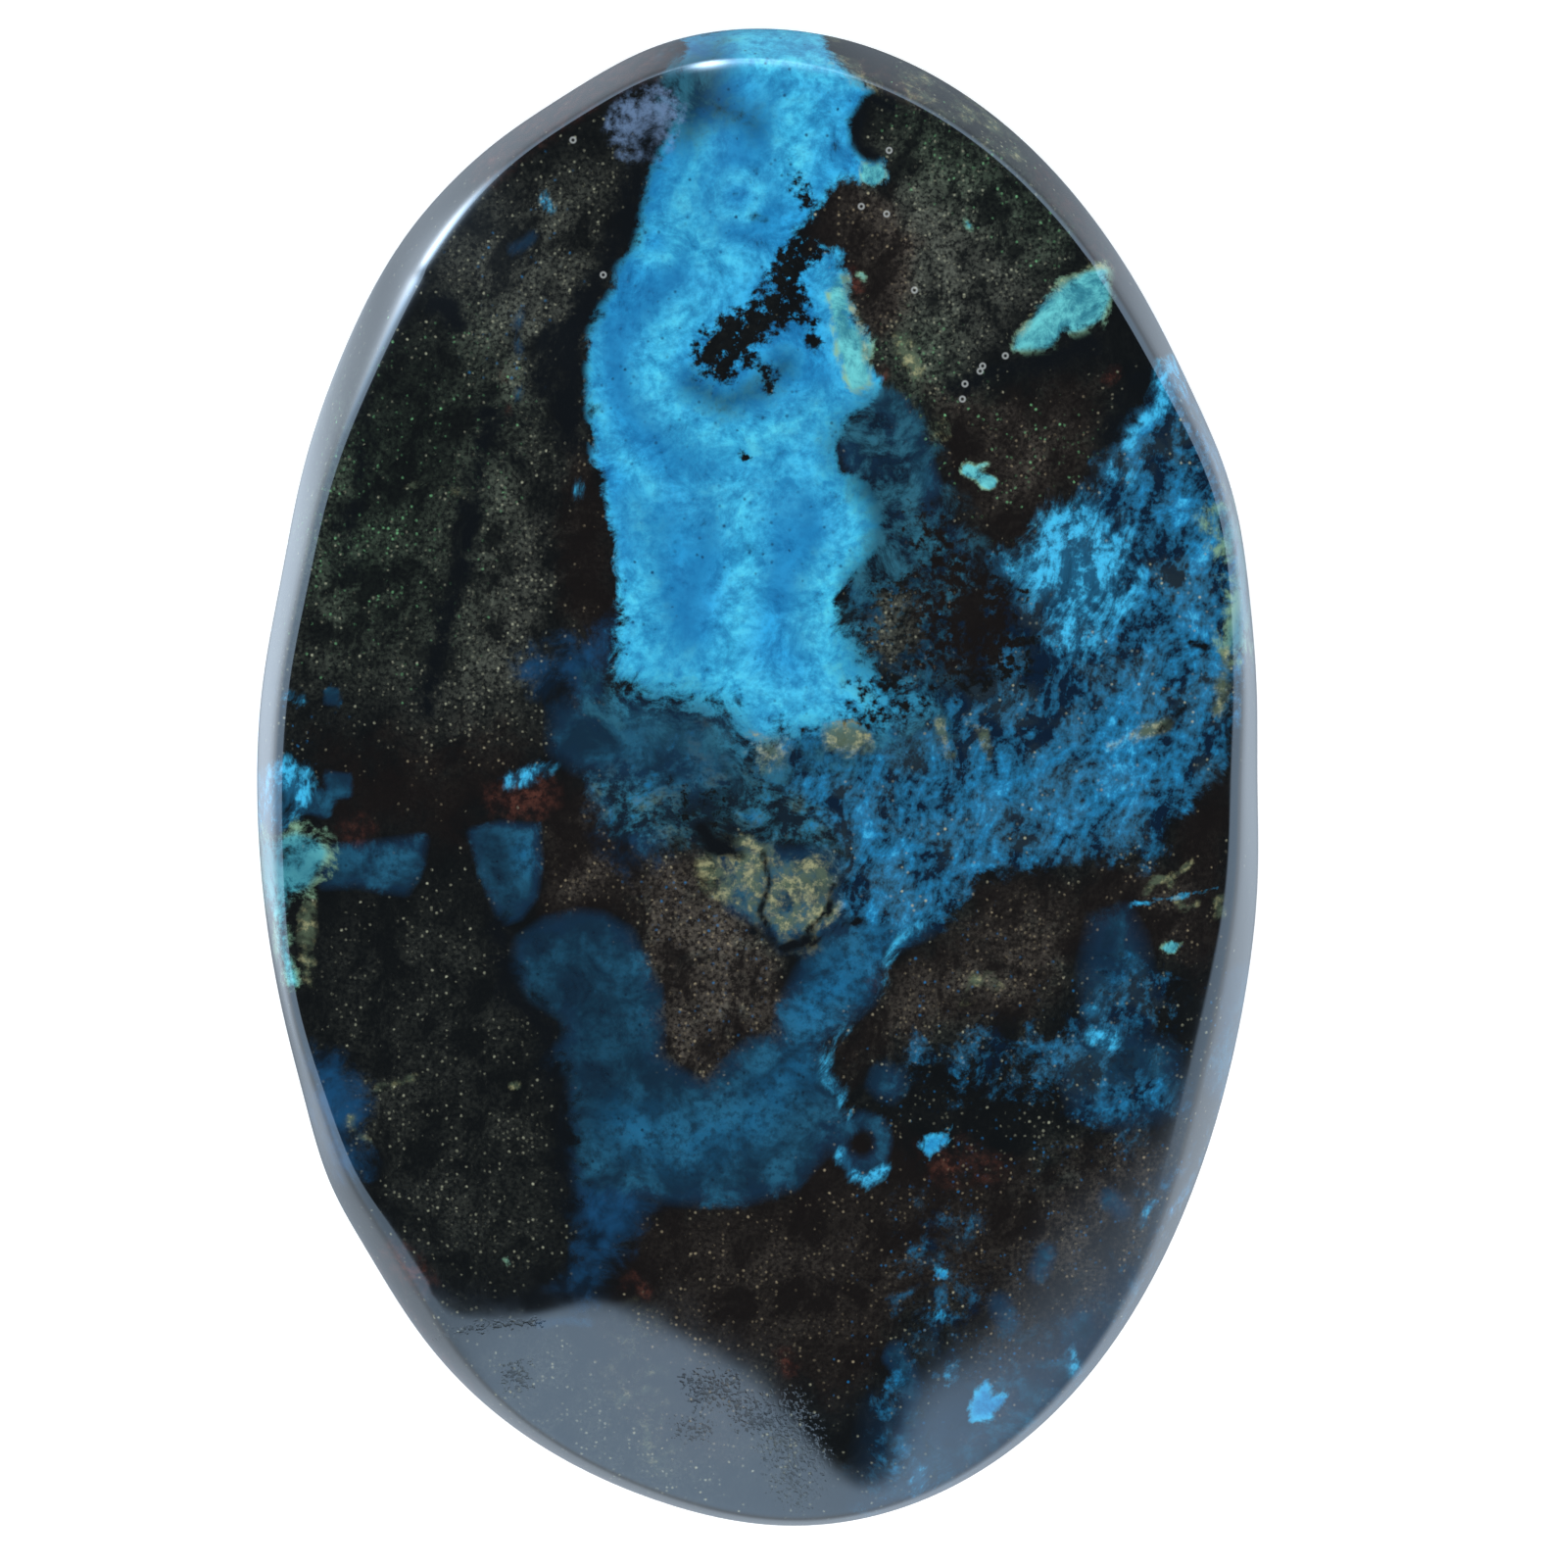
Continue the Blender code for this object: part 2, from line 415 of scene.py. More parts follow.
            (651, 870), (720, 860), (764, 930), (800, 975), (812, 1010), (800, 1060), (764, 1068),
            (721, 1116), (690, 1100), (667, 1081), (664, 1010), (645, 960),
        )),
        "brown by the lobe": (0.8, 0.9, (
            (905, 500), (955, 505), (1000, 560), (1045, 605), (1040, 660), (1000, 690), (940, 700),
            (915, 690), (935, 650), (930, 600), (905, 560),
        )),
        "brown low matrix": (0.9, 0.8, (
            (835, 1062), (865, 1042), (890, 1018), (897, 984), (945, 955), (985, 932), (988, 896),
            (1062, 884), (1092, 900), (1120, 880), (1128, 860), (1140, 880), (1190, 880), (1192, 842),
            (1246, 780), (1262, 830), (1255, 940), (1240, 1010), (1190, 980), (1100, 975), (1060, 1050),
            (980, 1050), (930, 1068), (900, 1075), (860, 1115), (848, 1110),
        )),
        "brown below the blue": (1.2, 1, (
            (650, 1235), (720, 1225), (800, 1215), (850, 1150), (900, 1150), (960, 1185), (1040, 1190),
            (1060, 1250), (1000, 1310), (920, 1340), (900, 1400), (850, 1440), (800, 1400), (720, 1370),
            (650, 1330), (620, 1310),
        )),
        "brown lower right": (2, 0.9, (
            (1010, 1250), (1130, 1150), (1230, 1130), (1210, 1280), (1120, 1420), (1010, 1500),
            (930, 1530), (980, 1400),
        )),
        "brown in the end": (1.2, 0.9, (
            (600, 1335), (720, 1345), (800, 1430), (740, 1500), (650, 1480), (610, 1400),
        )),
    },
    "moss": {
        "green dusting on the left": (3, 1, (
            (300, 420), (380, 350), (470, 360), (520, 420), (470, 520), (440, 640), (360, 660), (290, 600),
        )),
        "green dusting top right": (1.6, 1, (
            (900, 90), (960, 110), (1050, 170), (1130, 260), (1080, 280), (1000, 210), (930, 170),
            (905, 130),
        )),
        "green dusting below the wedge": (1.5, 0.7, (
            (900, 330), (960, 340), (980, 440), (940, 470), (900, 400),
        )),
        "green dusting on the shelf": (1.2, 0.8, (
            (960, 400), (1120, 400), (1125, 470), (1060, 540), (1000, 530),
        )),
    },
    "gap": {
        "tongue": (0.45, 1, (
            (832, 226), (797, 255), (784, 293), (767, 314), (738, 325), (714, 346), (708, 368), (716, 388),
            (746, 391), (758, 364), (789, 341), (813, 325), (831, 332), (822, 304), (815, 288), (842, 252),
        )),
        "brown hole in the lobe": (0.8, 0.9, (
            (892, 600), (930, 590), (950, 620), (944, 670), (905, 690), (884, 665),
        )),
        "gaps in the teal": (1, 0.55, ((690, 800), (740, 810), (764, 850), (724, 866), (680, 840))),
        "dark run behind the lobe": (1.2, 0.9, (
            (930, 520), (985, 560), (1040, 605), (1035, 650), (1000, 690), (960, 700), (950, 650),
            (955, 600),
        )),
        "dark run in the middle": (1, 0.6, (
            (1000, 640), (1060, 660), (1075, 690), (1030, 715), (990, 705),
        )),
        "broken right margin of the foot": (0.8, 0.55, (
            (870, 700), (930, 690), (945, 735), (900, 748), (860, 742),
        )),
    },
    "bloom": {
        "bloom by the band's top": (0.6, 0.85, (
            (627, 128), (640, 110), (668, 100), (690, 108), (688, 132), (672, 156), (640, 158),
        )),
    },
    "veil": {
        "shade in the lobe": (1.3, 1, (
            (862, 430), (890, 414), (915, 424), (935, 452), (945, 490), (965, 520), (985, 560), (985, 600),
            (950, 600), (925, 570), (905, 548), (898, 515), (880, 496), (858, 480), (850, 455),
        )),
        "shade round the brown hole": (1.4, 0.85, (
            (880, 596), (920, 580), (955, 610), (955, 690), (905, 705), (866, 680), (868, 630),
        )),
        "shade at the band's top": (1, 0.9, (
            (686, 60), (738, 48), (748, 80), (735, 118), (704, 150), (684, 130),
        )),
    },
    "pits": {
        "pits in the polish": (0.5, 0.6, ((512, 1398), (538, 1392), (540, 1420), (518, 1424))),
        "second pits": (0.6, 0.55, ((696, 1408), (722, 1402), (752, 1410), (748, 1430), (712, 1434))),
        "third pits": (0.5, 0.55, ((686, 1454), (710, 1450), (728, 1456), (720, 1470), (692, 1470))),
        "fourth pits": (0.6, 0.55, ((748, 1438), (772, 1434), (776, 1452), (756, 1458))),
        "fifth pits": (0.9, 0.42, (
            (770, 1440), (815, 1430), (835, 1480), (830, 1545), (790, 1535), (780, 1490),
        )),
    },
}

VEINS = {
    "deep": {
        "shade in the wedge": (0.5, 0.95, 0.45, ((496, 862), (508, 892), (522, 924))),
        "shade in the right rim": (0.9, 0.9, 1, ((1246, 520), (1262, 560), (1270, 610), (1262, 656))),
        "deep ring by the dark dot": (0.5, 0.8, 0.2, (
            (752, 160), (782, 170), (792, 200), (780, 232), (752, 242), (723, 232), (712, 201), (723, 170),
            (752, 160),
        )),
        "deep line by the left margin": (0.5, 0.8, 0.15, (
            (646, 500), (664, 540), (676, 600), (690, 650), (700, 680),
        )),
        "deep shade in the lower chain": (1.2, 0.9, 1.2, ((1190, 1200), (1160, 1290), (1140, 1360))),
        "second deep shade in the lower chain": (1.2, 0.9, 1, (
            (960, 1250), (990, 1340), (950, 1440), (940, 1540),
        )),
        "deep left run": (0.6, 1, 0.45, (
            (621, 340), (636, 401), (674, 448), (714, 484), (730, 523), (718, 577), (700, 620), (706, 660),
        )),
        "deep line in the core": (0.7, 0.8, 0.4, ((790, 480), (800, 540), (786, 600))),
        "deep run by the left foot": (0.8, 0.8, 0.5, ((676, 590), (684, 640), (676, 680))),
        "second deep line in the core": (0.6, 1, 0.45, ((822, 510), (829, 565), (816, 608), (822, 650))),
        "deep run round the tongue": (0.5, 0.9, 0.35, (
            (690, 446), (735, 464), (780, 454), (822, 430), (838, 392),
        )),
        "deep line at the top": (0.5, 0.9, 0.35, ((790, 100), (770, 120), (780, 150))),
        "deep upper left": (0.7, 0.95, 0.5, ((700, 148), (694, 212), (698, 261), (676, 297), (650, 328))),
        "deep upper middle": (1, 0.5, 0.5, ((770, 118), (748, 160), (736, 230))),
        "deep run in the lower blue": (1.2, 0.95, 1, ((560, 980), (600, 1010), (630, 1060), (620, 1120))),
        "shade in the left turquoise": (1.4, 1, 0.9, ((270, 870), (300, 880), (320, 900))),
        "shade in the mottles low right": (1.5, 0.7, 1.5, (
            (1120, 1000), (1180, 1050), (1120, 1110), (1060, 1090),
        )),
        "deep right blotch": (0.9, 1, 0.6, ((1200, 420), (1222, 450), (1216, 480), (1190, 470))),
        "second deep right blotch": (0.8, 0.9, 0.4, ((1160, 520), (1190, 540), (1185, 580))),
        "deep run on the right": (1, 0.9, 0.5, (
            (1040, 620), (1060, 660), (1110, 690), (1060, 740), (980, 760),
        )),
        "deep run by the right rim": (0.8, 0.8, 0.4, ((1216, 700), (1200, 740), (1220, 790))),
        "deep in the lobe's brown": (1.2, 1, 0.7, ((930, 560), (990, 640), (960, 700), (1000, 720))),
    },
    "ochre": {
        "olive smear in the end": (1.2, 0.25, 0.6, ((652, 1360), (646, 1420), (662, 1480))),
        "small ring in the gold": (0.15, 0.95, 0.06, (
            (790, 908), (804, 902), (816, 914), (812, 934), (798, 942), (788, 930), (790, 908),
        )),
        "second small ring in the gold": (0.15, 0.95, 0.06, (
            (832, 930), (842, 928), (848, 938), (840, 946), (832, 940), (832, 930),
        )),
        "ring at the gold's top": (0.18, 0.9, 0.08, (
            (742, 868), (760, 856), (778, 866), (776, 888), (756, 892), (742, 868),
        )),
        "yellow rim of the band": (0.2, 0.75, 0.12, ((862, 286), (868, 316), (880, 342), (886, 372))),
        "tan edge on the top bevel": (0.5, 0.55, 0.2, ((848, 40), (856, 62), (872, 80), (892, 92))),
        "green streak on the top bevel": (0.8, 0.5, 0.3, ((925, 82), (975, 108), (1035, 150))),
        "fleck": (0.2, 0.75, 0.12, ((960, 738), (962, 758), (972, 772))),
        "second fleck": (0.2, 0.7, 0.1, ((984, 734), (1004, 746), (1010, 772))),
        "khaki strip at the right rim": (0.3, 0.8, 0.2, ((1251, 668), (1248, 700), (1244, 724))),
        "khaki streak on the right": (0.25, 0.8, 0.16, ((1133, 762), (1160, 748), (1190, 738))),
        "khaki spot by the right rim": (0.25, 0.95, 0.2, ((1244, 918), (1246, 928))),
        "khaki column at the left rim": (0.3, 0.75, 0.2, ((314, 925), (312, 960), (314, 998))),
        "dendrite": (0.15, 0.75, 0.07, ((1170, 912), (1180, 898), (1198, 894), (1216, 880))),
        "second dendrite": (0.15, 0.7, 0.07, ((1198, 894), (1196, 912), (1210, 928), (1222, 922))),
        "green flecks low right": (0.3, 0.7, 0.14, ((985, 1020), (990, 1004), (1004, 996), (1018, 1006))),
        "rim of the wedge": (0.22, 0.7, 0.1, (
            (1034, 352), (1055, 320), (1084, 292), (1106, 276), (1130, 270),
        )),
        "spot in the low matrix": (0.2, 0.8, 0.12, ((524, 1107), (526, 1109))),
        "tan scratch": (0.2, 0.5, 0.06, ((419, 494), (450, 497), (489, 505))),
        "pale scratch": (0.2, 0.6, 0.06, ((383, 1112), (405, 1106), (428, 1097))),
        "second pale scratch": (0.2, 0.65, 0.07, ((358, 1140), (353, 1152), (366, 1158), (381, 1164))),
    },
    "rust": {
        "brown on the top left bevel": (0.7, 0.7, 0.5, ((500, 170), (560, 118), (630, 76), (700, 52))),
        "rust spot": (0.25, 0.95, 0.18, ((868, 280), (874, 296))),
        "second rust spot": (0.25, 0.8, 0.15, ((900, 380), (903, 383))),
        "orange spot": (0.25, 0.95, 0.18, ((1132, 386), (1137, 382))),
        "orange grains": (0.2, 0.8, 0.1, ((513, 382), (515, 388))),
        "second orange grains": (0.2, 0.8, 0.08, ((518, 418), (520, 420))),
        "rust on the lower left bevel": (0.6, 0.8, 0.35, ((398, 1280), (415, 1294), (430, 1312))),
        "rust by the lower blue": (0.25, 0.8, 0.16, ((888, 1003), (891, 1006))),
        "orange strokes": (0.3, 0.75, 0.1, ((636, 1312), (644, 1304), (660, 1322))),
        "pink spot": (0.3, 0.8, 0.25, ((799, 1384), (808, 1396))),
        "rust on the right": (0.3, 0.7, 0.15, ((1116, 634), (1128, 638))),
        "brown streak on the top bevel": (0.5, 0.4, 0.35, ((872, 72), (905, 84), (940, 100))),
        "brown streak on the right bevel": (0.5, 0.5, 0.3, ((1060, 180), (1110, 235), (1150, 300))),
        "olive line under the end": (0.3, 0.6, 0.12, (
            (366, 1270), (434, 1366), (495, 1440), (567, 1492), (637, 1527), (701, 1548),
        )),
    },
    "feather": {
        "wisp low right": (0.35, 0.75, 0.12, ((1161, 1298), (1158, 1310))),
        "second wisp low right": (0.35, 0.7, 0.12, ((1090, 1380), (1098, 1392))),
        "fifth wisp low right": (0.35, 0.7, 0.12, ((1178, 1232), (1170, 1244))),
        "wisp by the end": (0.4, 0.75, 0.2, ((936, 1500), (944, 1516))),
        "third wisp by the end": (0.35, 0.8, 0.12, ((970, 1396), (974, 1410))),
        "bright edge of the right arm": (0.3, 0.62, 0.1, (
            (952, 936), (930, 950), (908, 975), (898, 1010), (872, 1040), (846, 1064), (842, 1098),
            (862, 1120), (866, 1146),
        )),
        "blue streak in the middle": (0.3, 0.75, 0.22, ((518, 795), (538, 791), (560, 782))),
        "blue by the left rim": (0.2, 0.8, 0.14, ((296, 708), (305, 714))),
        "arc by the cap": (0.25, 0.8, 0.1, ((1190, 416), (1168, 428), (1155, 440), (1151, 456))),
        "knot by the arc": (0.35, 0.8, 0.35, ((1126, 482), (1144, 486))),
        "crescent": (0.2, 1, 0.2, ((861, 1178), (870, 1196), (886, 1204), (902, 1192))),
        "spot in the mottles": (0.25, 0.85, 0.2, ((1110, 1030), (1120, 1032))),
        "second spot in the mottles": (0.3, 0.8, 0.3, ((1122, 1056), (1134, 1060))),
        "cyan dot left of the band": (0.35, 0.7, 0.12, ((592, 500), (596, 504))),
        "blue specks top left": (0.2, 0.75, 0.07, ((556, 206), (562, 214))),
    },
    "azure": {
        "third wisp low right": (0.4, 0.85, 0.25, ((1104, 1348), (1096, 1364))),
        "fourth wisp low right": (0.4, 0.85, 0.25, ((1070, 1280), (1062, 1296))),
        "sixth wisp low right": (0.4, 0.85, 0.25, ((1134, 1222), (1146, 1236))),
        "seventh wisp low right": (0.4, 0.8, 0.3, ((1020, 1330), (1030, 1350))),
        "second wisp by the end": (0.4, 0.9, 0.2, ((914, 1380), (924, 1398), (930, 1420))),
        "rim of the lobe": (0.35, 0.95, 0.35, ((893, 408), (915, 415), (928, 440), (938, 468), (948, 498))),
        "second ring": (0.35, 0.8, 0.2, (
            (880, 1143), (896, 1150), (903, 1166), (896, 1184), (878, 1190), (862, 1180), (857, 1164),
            (865, 1149), (880, 1143),
        )),
        "deep arc": (0.25, 0.8, 0.14, ((906, 1386), (920, 1398), (932, 1424), (930, 1432))),
        "second deep arc": (0.3, 0.7, 0.16, ((930, 1444), (929, 1462), (917, 1476))),
        "low loop": (0.3, 0.75, 0.14, (
            (930, 1500), (950, 1492), (966, 1505), (960, 1526), (940, 1534), (926, 1520),
        )),
        "soft blue on the right bevel": (0.5, 0.95, 0.6, ((1268, 1000), (1264, 1050), (1252, 1100))),
        "blue on the left bevel": (0.5, 0.85, 0.5, ((262, 800), (268, 840))),
        "second blue specks top left": (0.25, 0.8, 0.1, ((524, 256), (536, 250), (545, 244))),
        "third blue specks top left": (0.25, 0.8, 0.08, ((532, 322), (530, 334))),
        "fourth blue specks top left": (0.2, 0.8, 0.08, ((528, 352), (531, 360))),
        "blue speck by the orange": (0.2, 0.7, 0.1, ((528, 402), (531, 400))),
        "cyan stitches": (0.2, 0.8, 0.08, ((551, 1353), (575, 1348), (602, 1352))),
    },
    "halo": {
        "pale top of the bevel": (0.8, 1, 0.9, ((756, 40), (800, 34), (842, 46))),
        "pale crest of the bevel": (0.5, 0.9, 0.4, ((770, 66), (820, 66), (862, 84))),
        "pale ring by the dark dot": (0.4, 0.8, 0.15, (
            (740, 185), (765, 183), (775, 203), (760, 222), (738, 218), (730, 200), (740, 185),
        )),
        "pale ring on the left": (0.4, 0.8, 0.15, (
            (660, 230), (682, 228), (692, 248), (680, 268), (658, 264), (650, 246), (660, 230),
        )),
        "pale ring by the tongue": (0.9, 0.95, 0.45, (
            (706, 318), (682, 342), (668, 374), (672, 406), (698, 434), (742, 448), (796, 438), (842, 418),
        )),
        "pale lobe": (0.7, 0.8, 0.35, ((846, 280), (858, 325), (868, 368), (878, 392))),
        "pale top": (1.2, 0.6, 0.6, ((800, 92), (835, 130), (806, 176))),
        "pale left margin": (0.5, 0.75, 0.2, ((603, 330), (603, 400), (622, 452), (668, 498))),
        "pale foot": (1.2, 0.95, 0.6, ((650, 694), (700, 694), (752, 704), (806, 726), (880, 718))),
        "pale right margin": (0.9, 1, 0.8, (
            (866, 488), (882, 520), (876, 560), (848, 598), (838, 640), (856, 676),
        )),
        "pale left foot": (0.9, 0.75, 0.4, ((642, 600), (650, 650), (646, 690))),
        "pale middle": (1.8, 0.5, 0.9, ((730, 500), (780, 478), (838, 470))),
        "pale upper left": (1, 0.5, 0.4, ((690, 215), (716, 262), (742, 300))),
        "pale spot in the wedge": (0.5, 0.7, 0.25, ((536, 868), (540, 882))),
        "pale edge of the cap": (0.5, 0.7, 0.3, ((1190, 384), (1192, 398))),
        "pale cloud on the right": (0.8, 0.8, 0.5, ((1070, 560), (1100, 540), (1120, 560))),
        "pale run on the right": (1.2, 1, 1.1, (
            (1210, 520), (1230, 580), (1216, 650), (1180, 710), (1150, 770),
        )),
        "pale run to the left": (1.2, 0.25, 0.6, ((1190, 790), (1120, 800), (1060, 830), (1010, 850))),
        "pale run in the lower blue": (1.2, 0.6, 0.6, ((640, 1150), (700, 1170), (770, 1140), (815, 1090))),
        "pale right arm": (1, 0.9, 0.8, ((830, 1030), (870, 990), (910, 950))),
        "pale run in the core": (0.7, 0.8, 0.5, ((756, 512), (764, 560), (756, 620), (746, 668))),
        "third pale line in the core": (0.8, 0.6, 0.25, ((650, 520), (662, 560), (660, 610), (672, 650))),
        "pale line at the top": (0.8, 0.7, 0.3, (
            (720, 150), (700, 190), (706, 230), (730, 262), (770, 270),
        )),
        "second pale line at the top": (0.5, 0.85, 0.3, ((820, 110), (800, 140), (812, 170))),
    },
    "dark": {
        "cracks under the gold": (0.25, 0.9, 0.18, (
            (768, 950), (800, 970), (830, 960), (856, 946), (880, 940),
        )),
        "black hook": (0.3, 0.85, 0.3, ((906, 110), (886, 106), (873, 124), (875, 150), (892, 163))),
        "black channel by the band": (0.8, 0.9, 0.6, (
            (662, 140), (640, 235), (610, 296), (586, 345), (582, 410), (586, 450),
        )),
        "black blotch top left": (0.5, 0.9, 0.45, ((446, 306), (468, 330))),
        "black run on the left": (0.7, 0.85, 0.5, (
            (500, 410), (490, 480), (478, 556), (452, 650), (436, 720),
        )),
        "second black run on the left": (0.7, 0.7, 0.4, ((372, 420), (366, 500), (352, 580))),
        "third black run on the left": (0.8, 0.7, 0.4, ((560, 330), (548, 400), (530, 470))),
        "black bar under the wedge": (0.6, 0.85, 0.4, ((1112, 352), (1062, 368), (1012, 384), (968, 396))),
        "black by the right rim": (0.7, 0.75, 0.6, ((1146, 296), (1180, 356), (1158, 404), (1124, 448))),
        "black run in the low matrix": (0.8, 0.85, 0.5, (
            (506, 940), (520, 1010), (556, 1060), (574, 1130), (580, 1230),
        )),
        "black foot of the low matrix": (0.7, 0.8, 0.4, ((440, 1318), (500, 1332), (580, 1326))),
        "black column by the teal": (0.35, 0.7, 0.15, ((737, 782), (746, 800), (744, 850))),
        "dark mouth by the gold": (0.35, 0.95, 0.35, ((716, 846), (728, 860), (748, 868))),
        "crack in the gold": (0.18, 0.95, 0.12, ((778, 872), (786, 900), (776, 930), (790, 956))),
        "second crack in the gold": (0.18, 0.95, 0.12, ((800, 968), (824, 952), (846, 930), (850, 905))),
        "vug": (0.12, 1, 0.17, ((1216, 656), (1230, 660))),
        "crack on the right": (0.12, 0.8, 0.06, ((1141, 661), (1160, 665))),
        "dark line on the right": (0.25, 0.65, 0.15, ((1216, 716), (1200, 730), (1186, 746))),
        "dark dot in the band": (0.15, 0.8, 0.1, ((751, 200), (753, 202))),
        "second dark dot in the band": (0.2, 0.9, 0.12, ((772, 222), (782, 225))),
        "olive smudge": (0.4, 0.6, 0.2, ((730, 112), (748, 116), (764, 128))),
    },
    "veil": {
        "shade under the tongue": (0.8, 0.85, 0.45, ((706, 392), (740, 410), (775, 398), (802, 372))),
        "shade under the foot": (1.4, 0.8, 0.6, (
            (626, 716), (700, 726), (744, 750), (766, 784), (806, 772), (870, 762), (946, 742),
        )),
        "soft right edge of the band": (0.9, 0.95, 0.4, ((890, 498), (906, 524), (903, 556), (882, 592))),
        "shade along the top edge": (0.8, 0.7, 0.4, ((704, 106), (738, 112), (772, 132))),
    },
    "sky": {
        "spot under the ring": (0.2, 0.95, 0.2, ((955, 1300), (963, 1302))),
        "lower spot": (0.2, 0.85, 0.12, ((957, 1340), (961, 1341))),
        "blue line in the matrix": (0.15, 0.75, 0.08, ((1157, 924), (1190, 918), (1243, 905))),
        "pale streak low down": (0.2, 0.7, 0.1, ((966, 1392), (968, 1412))),
    },
    "turquoise": {
        "teal strip at the left rim": (0.4, 0.75, 0.35, ((286, 930), (288, 965), (298, 1002))),
        "green strip at the right rim": (0.9, 0.8, 0.6, (
            (1246, 520), (1262, 560), (1270, 610), (1262, 656),
        )),
        "green dot": (0.2, 0.85, 0.15, ((988, 230), (990, 232))),
        "second green dot": (0.2, 0.85, 0.12, ((879, 282), (881, 284))),
        "cyan dot": (0.2, 1, 0.25, ((988, 480), (992, 484))),
        "second cyan dot": (0.2, 1, 0.28, ((1004, 490), (1010, 494))),
        "third cyan dot": (0.2, 0.9, 0.12, ((1002, 474), (1005, 476))),
        "green spot in the low matrix": (0.2, 0.8, 0.1, ((516, 1288), (518, 1290))),
    },
    "gap": {
        "dark spot in the band": (0.15, 0.95, 0.14, ((757, 466), (764, 469))),
        "dark drops by the matrix": (0.35, 1, 0.2, ((813, 186), (820, 200), (828, 212))),
        "dark islet in the lobe": (0.3, 1, 0.2, ((826, 344), (832, 352))),
        "dark drops by the tongue": (0.35, 0.95, 0.25, ((766, 372), (782, 380), (790, 392))),
    },
    "navy": {
        "blue shade in the smudge": (0.5, 0.5, 0.3, ((716, 112), (740, 124), (770, 140))),
    },
    "pits": {
        "crack in the end": (0.2, 0.85, 0.06, ((444, 1369), (466, 1358), (508, 1353), (551, 1350))),
    },
}

# Pitch in millimetres of the honeycomb of grains. The real ones are down to 0.05 mm, and are drawn
# coarser so that they show.
GRIT_PITCH = 0.19

# Tiny bubbles in the face, as pixels picked on the photograph, and in millimetres their radius and
# the width of the painted highlight rings round them
BUBBLES = (
    (585, 146), (617, 281), (908, 155), (879, 214), (904, 221), (934, 298),
    (1026, 363), (1003, 374), (999, 381), (985, 392), (982, 407),
)
BUBBLE_RADIUS = 0.10
BUBBLE_HIGHLIGHT_WIDTH = 0.06

# Turn of the strands in the mottled blue and the drifts in the rock
SLANT = math.radians(-68.0)

# Pitches in millimetres of the noises that the minerals share: the bends that all of them follow and
# how far these reach, clouds of blue, the chipped edges of patches, crumbs, level streaks, slanting
# strands, and dust as fine as it can be and still show
BEND_PITCH = 2.4
BEND_REACH = 1.6
CLOUD_PITCH = 1.9
CHIP_PITCH = 1.1
CRUMB_PITCH = 0.4
STREAK_PITCH = 0.9
STRAND_PITCH = 1.3
DUST_PITCH = 0.16

# How the level streaks and the slanting strands are drawn out
LEVEL_STRETCH = (0.65, 1.3, 1.0)
STRAND_STRETCH = (0.55, 1.3, 1.0)

# Below the girdle the markings wander off by these millimetres: a drift, and a sway with its pitch
DRIFT = (0.9, -0.8)
SWAY = (1.5, 1.1)
SWAY_PITCH = (7.0, 5.0)

# The polish: quartz's IOR, the gloss from its best to its poorest, and the dull pits
STONE_IOR = 1.54
GLOSS = (0.05, 0.10)
PIT_ROUGHNESS = 0.5
PIT_DEPTH = 0.01 * MM
PIT_STRENGTH = 0.6

# The floor: its gap under the stone, and how matt and how bright it is
FLOOR_GAP = 0.02 * MM
FLOOR_ROUGHNESS = 0.9
FLOOR_GLOW = 0.4

# The camera's film in millimetres, how far away it still sees, and where it is aimed
SENSOR = 36.0
SIGHT = 20.0
AIM_ALONG = -0.12 * MM
AIM_HEIGHT = GIRDLE_HEIGHT

# The lamp over the stone, in metres and watts
LAMP_HEIGHT = 0.7
LAMP_SIDE = 0.5
LAMP_POWER = 3.0

# What the gloss mirrors, by place round the stone in degrees from +X and lean from straight up. The
# dark ceiling: its edge, the changes to it as place, spread and amount, and how soft the edge is.
CEILING_REACH = 33.0
CEILING_CHANGES = ((222, 14, 10), (200, 14, 6), (251, 7, -4), (274.3, 7, 15), (311, 15, -5.5), (90, 60, 32))
CEILING_EDGE = 0.7
CEILING_SOFTNESS = ((312, 28, 4.5), (265, 9, 1.6))
CEILING_LIGHT = 0.05

# The walls, and the table all round, which is darker on some sides and close to the stone. The wall
# turns to table, and the table fades, between two leans.
WALL_LIGHT = 3.3
WALL_CHANGES = ((311, 26, -2.2), (226, 10, -1.2))
WALL_FOOT = (62.0, 92.0)
TABLE_LIGHT = 2.05
TABLE_CHANGES = (
    (180, 25, 2.6),
    (0, 24, 1.4),
    (90, 22, -1.4),
    (48, 20, -1.0),
    (214, 12, -0.7),
    (158, 9, -0.8),
)
TABLE_FADES = (112.0, 168.0)
TABLE_FADE = 0.16

# Tints of the room and the table as the gloss mirrors them, and the plain light that the rest gets
ROOM_TINT = (0.73, 1.01, 1.34, 1.0)
TABLE_TINT = (0.84, 1.0, 1.18, 1.0)
PLAIN_TINT = (1.0, 1.0, 1.0, 1.0)
FILL_LIGHT = 0.8

# Two strip lights, each by the place round and the lean
STRIPS = (
    (((148, 8.5, 26.0),), ((78, 26, 1.0),)),
    (((98, 3.2, 40.0), (90, 14, 5.0)), ((54, 18, 1.0),)),
)


def linear(code):
    """A screen colour such as #2b2018 as red, green and blue in linear light."""
    parts = (int(code[i : i + 2], 16) / 255.0 for i in (1, 3, 5))
    return tuple(c / 12.92 if c <= 0.04045 else ((c + 0.055) / 1.055) ** 2.4 for c in parts)


def size(name, description, default):
    return bpy.props.FloatProperty(
        name=name, description=description, default=default, min=0.0, unit="LENGTH"
    )


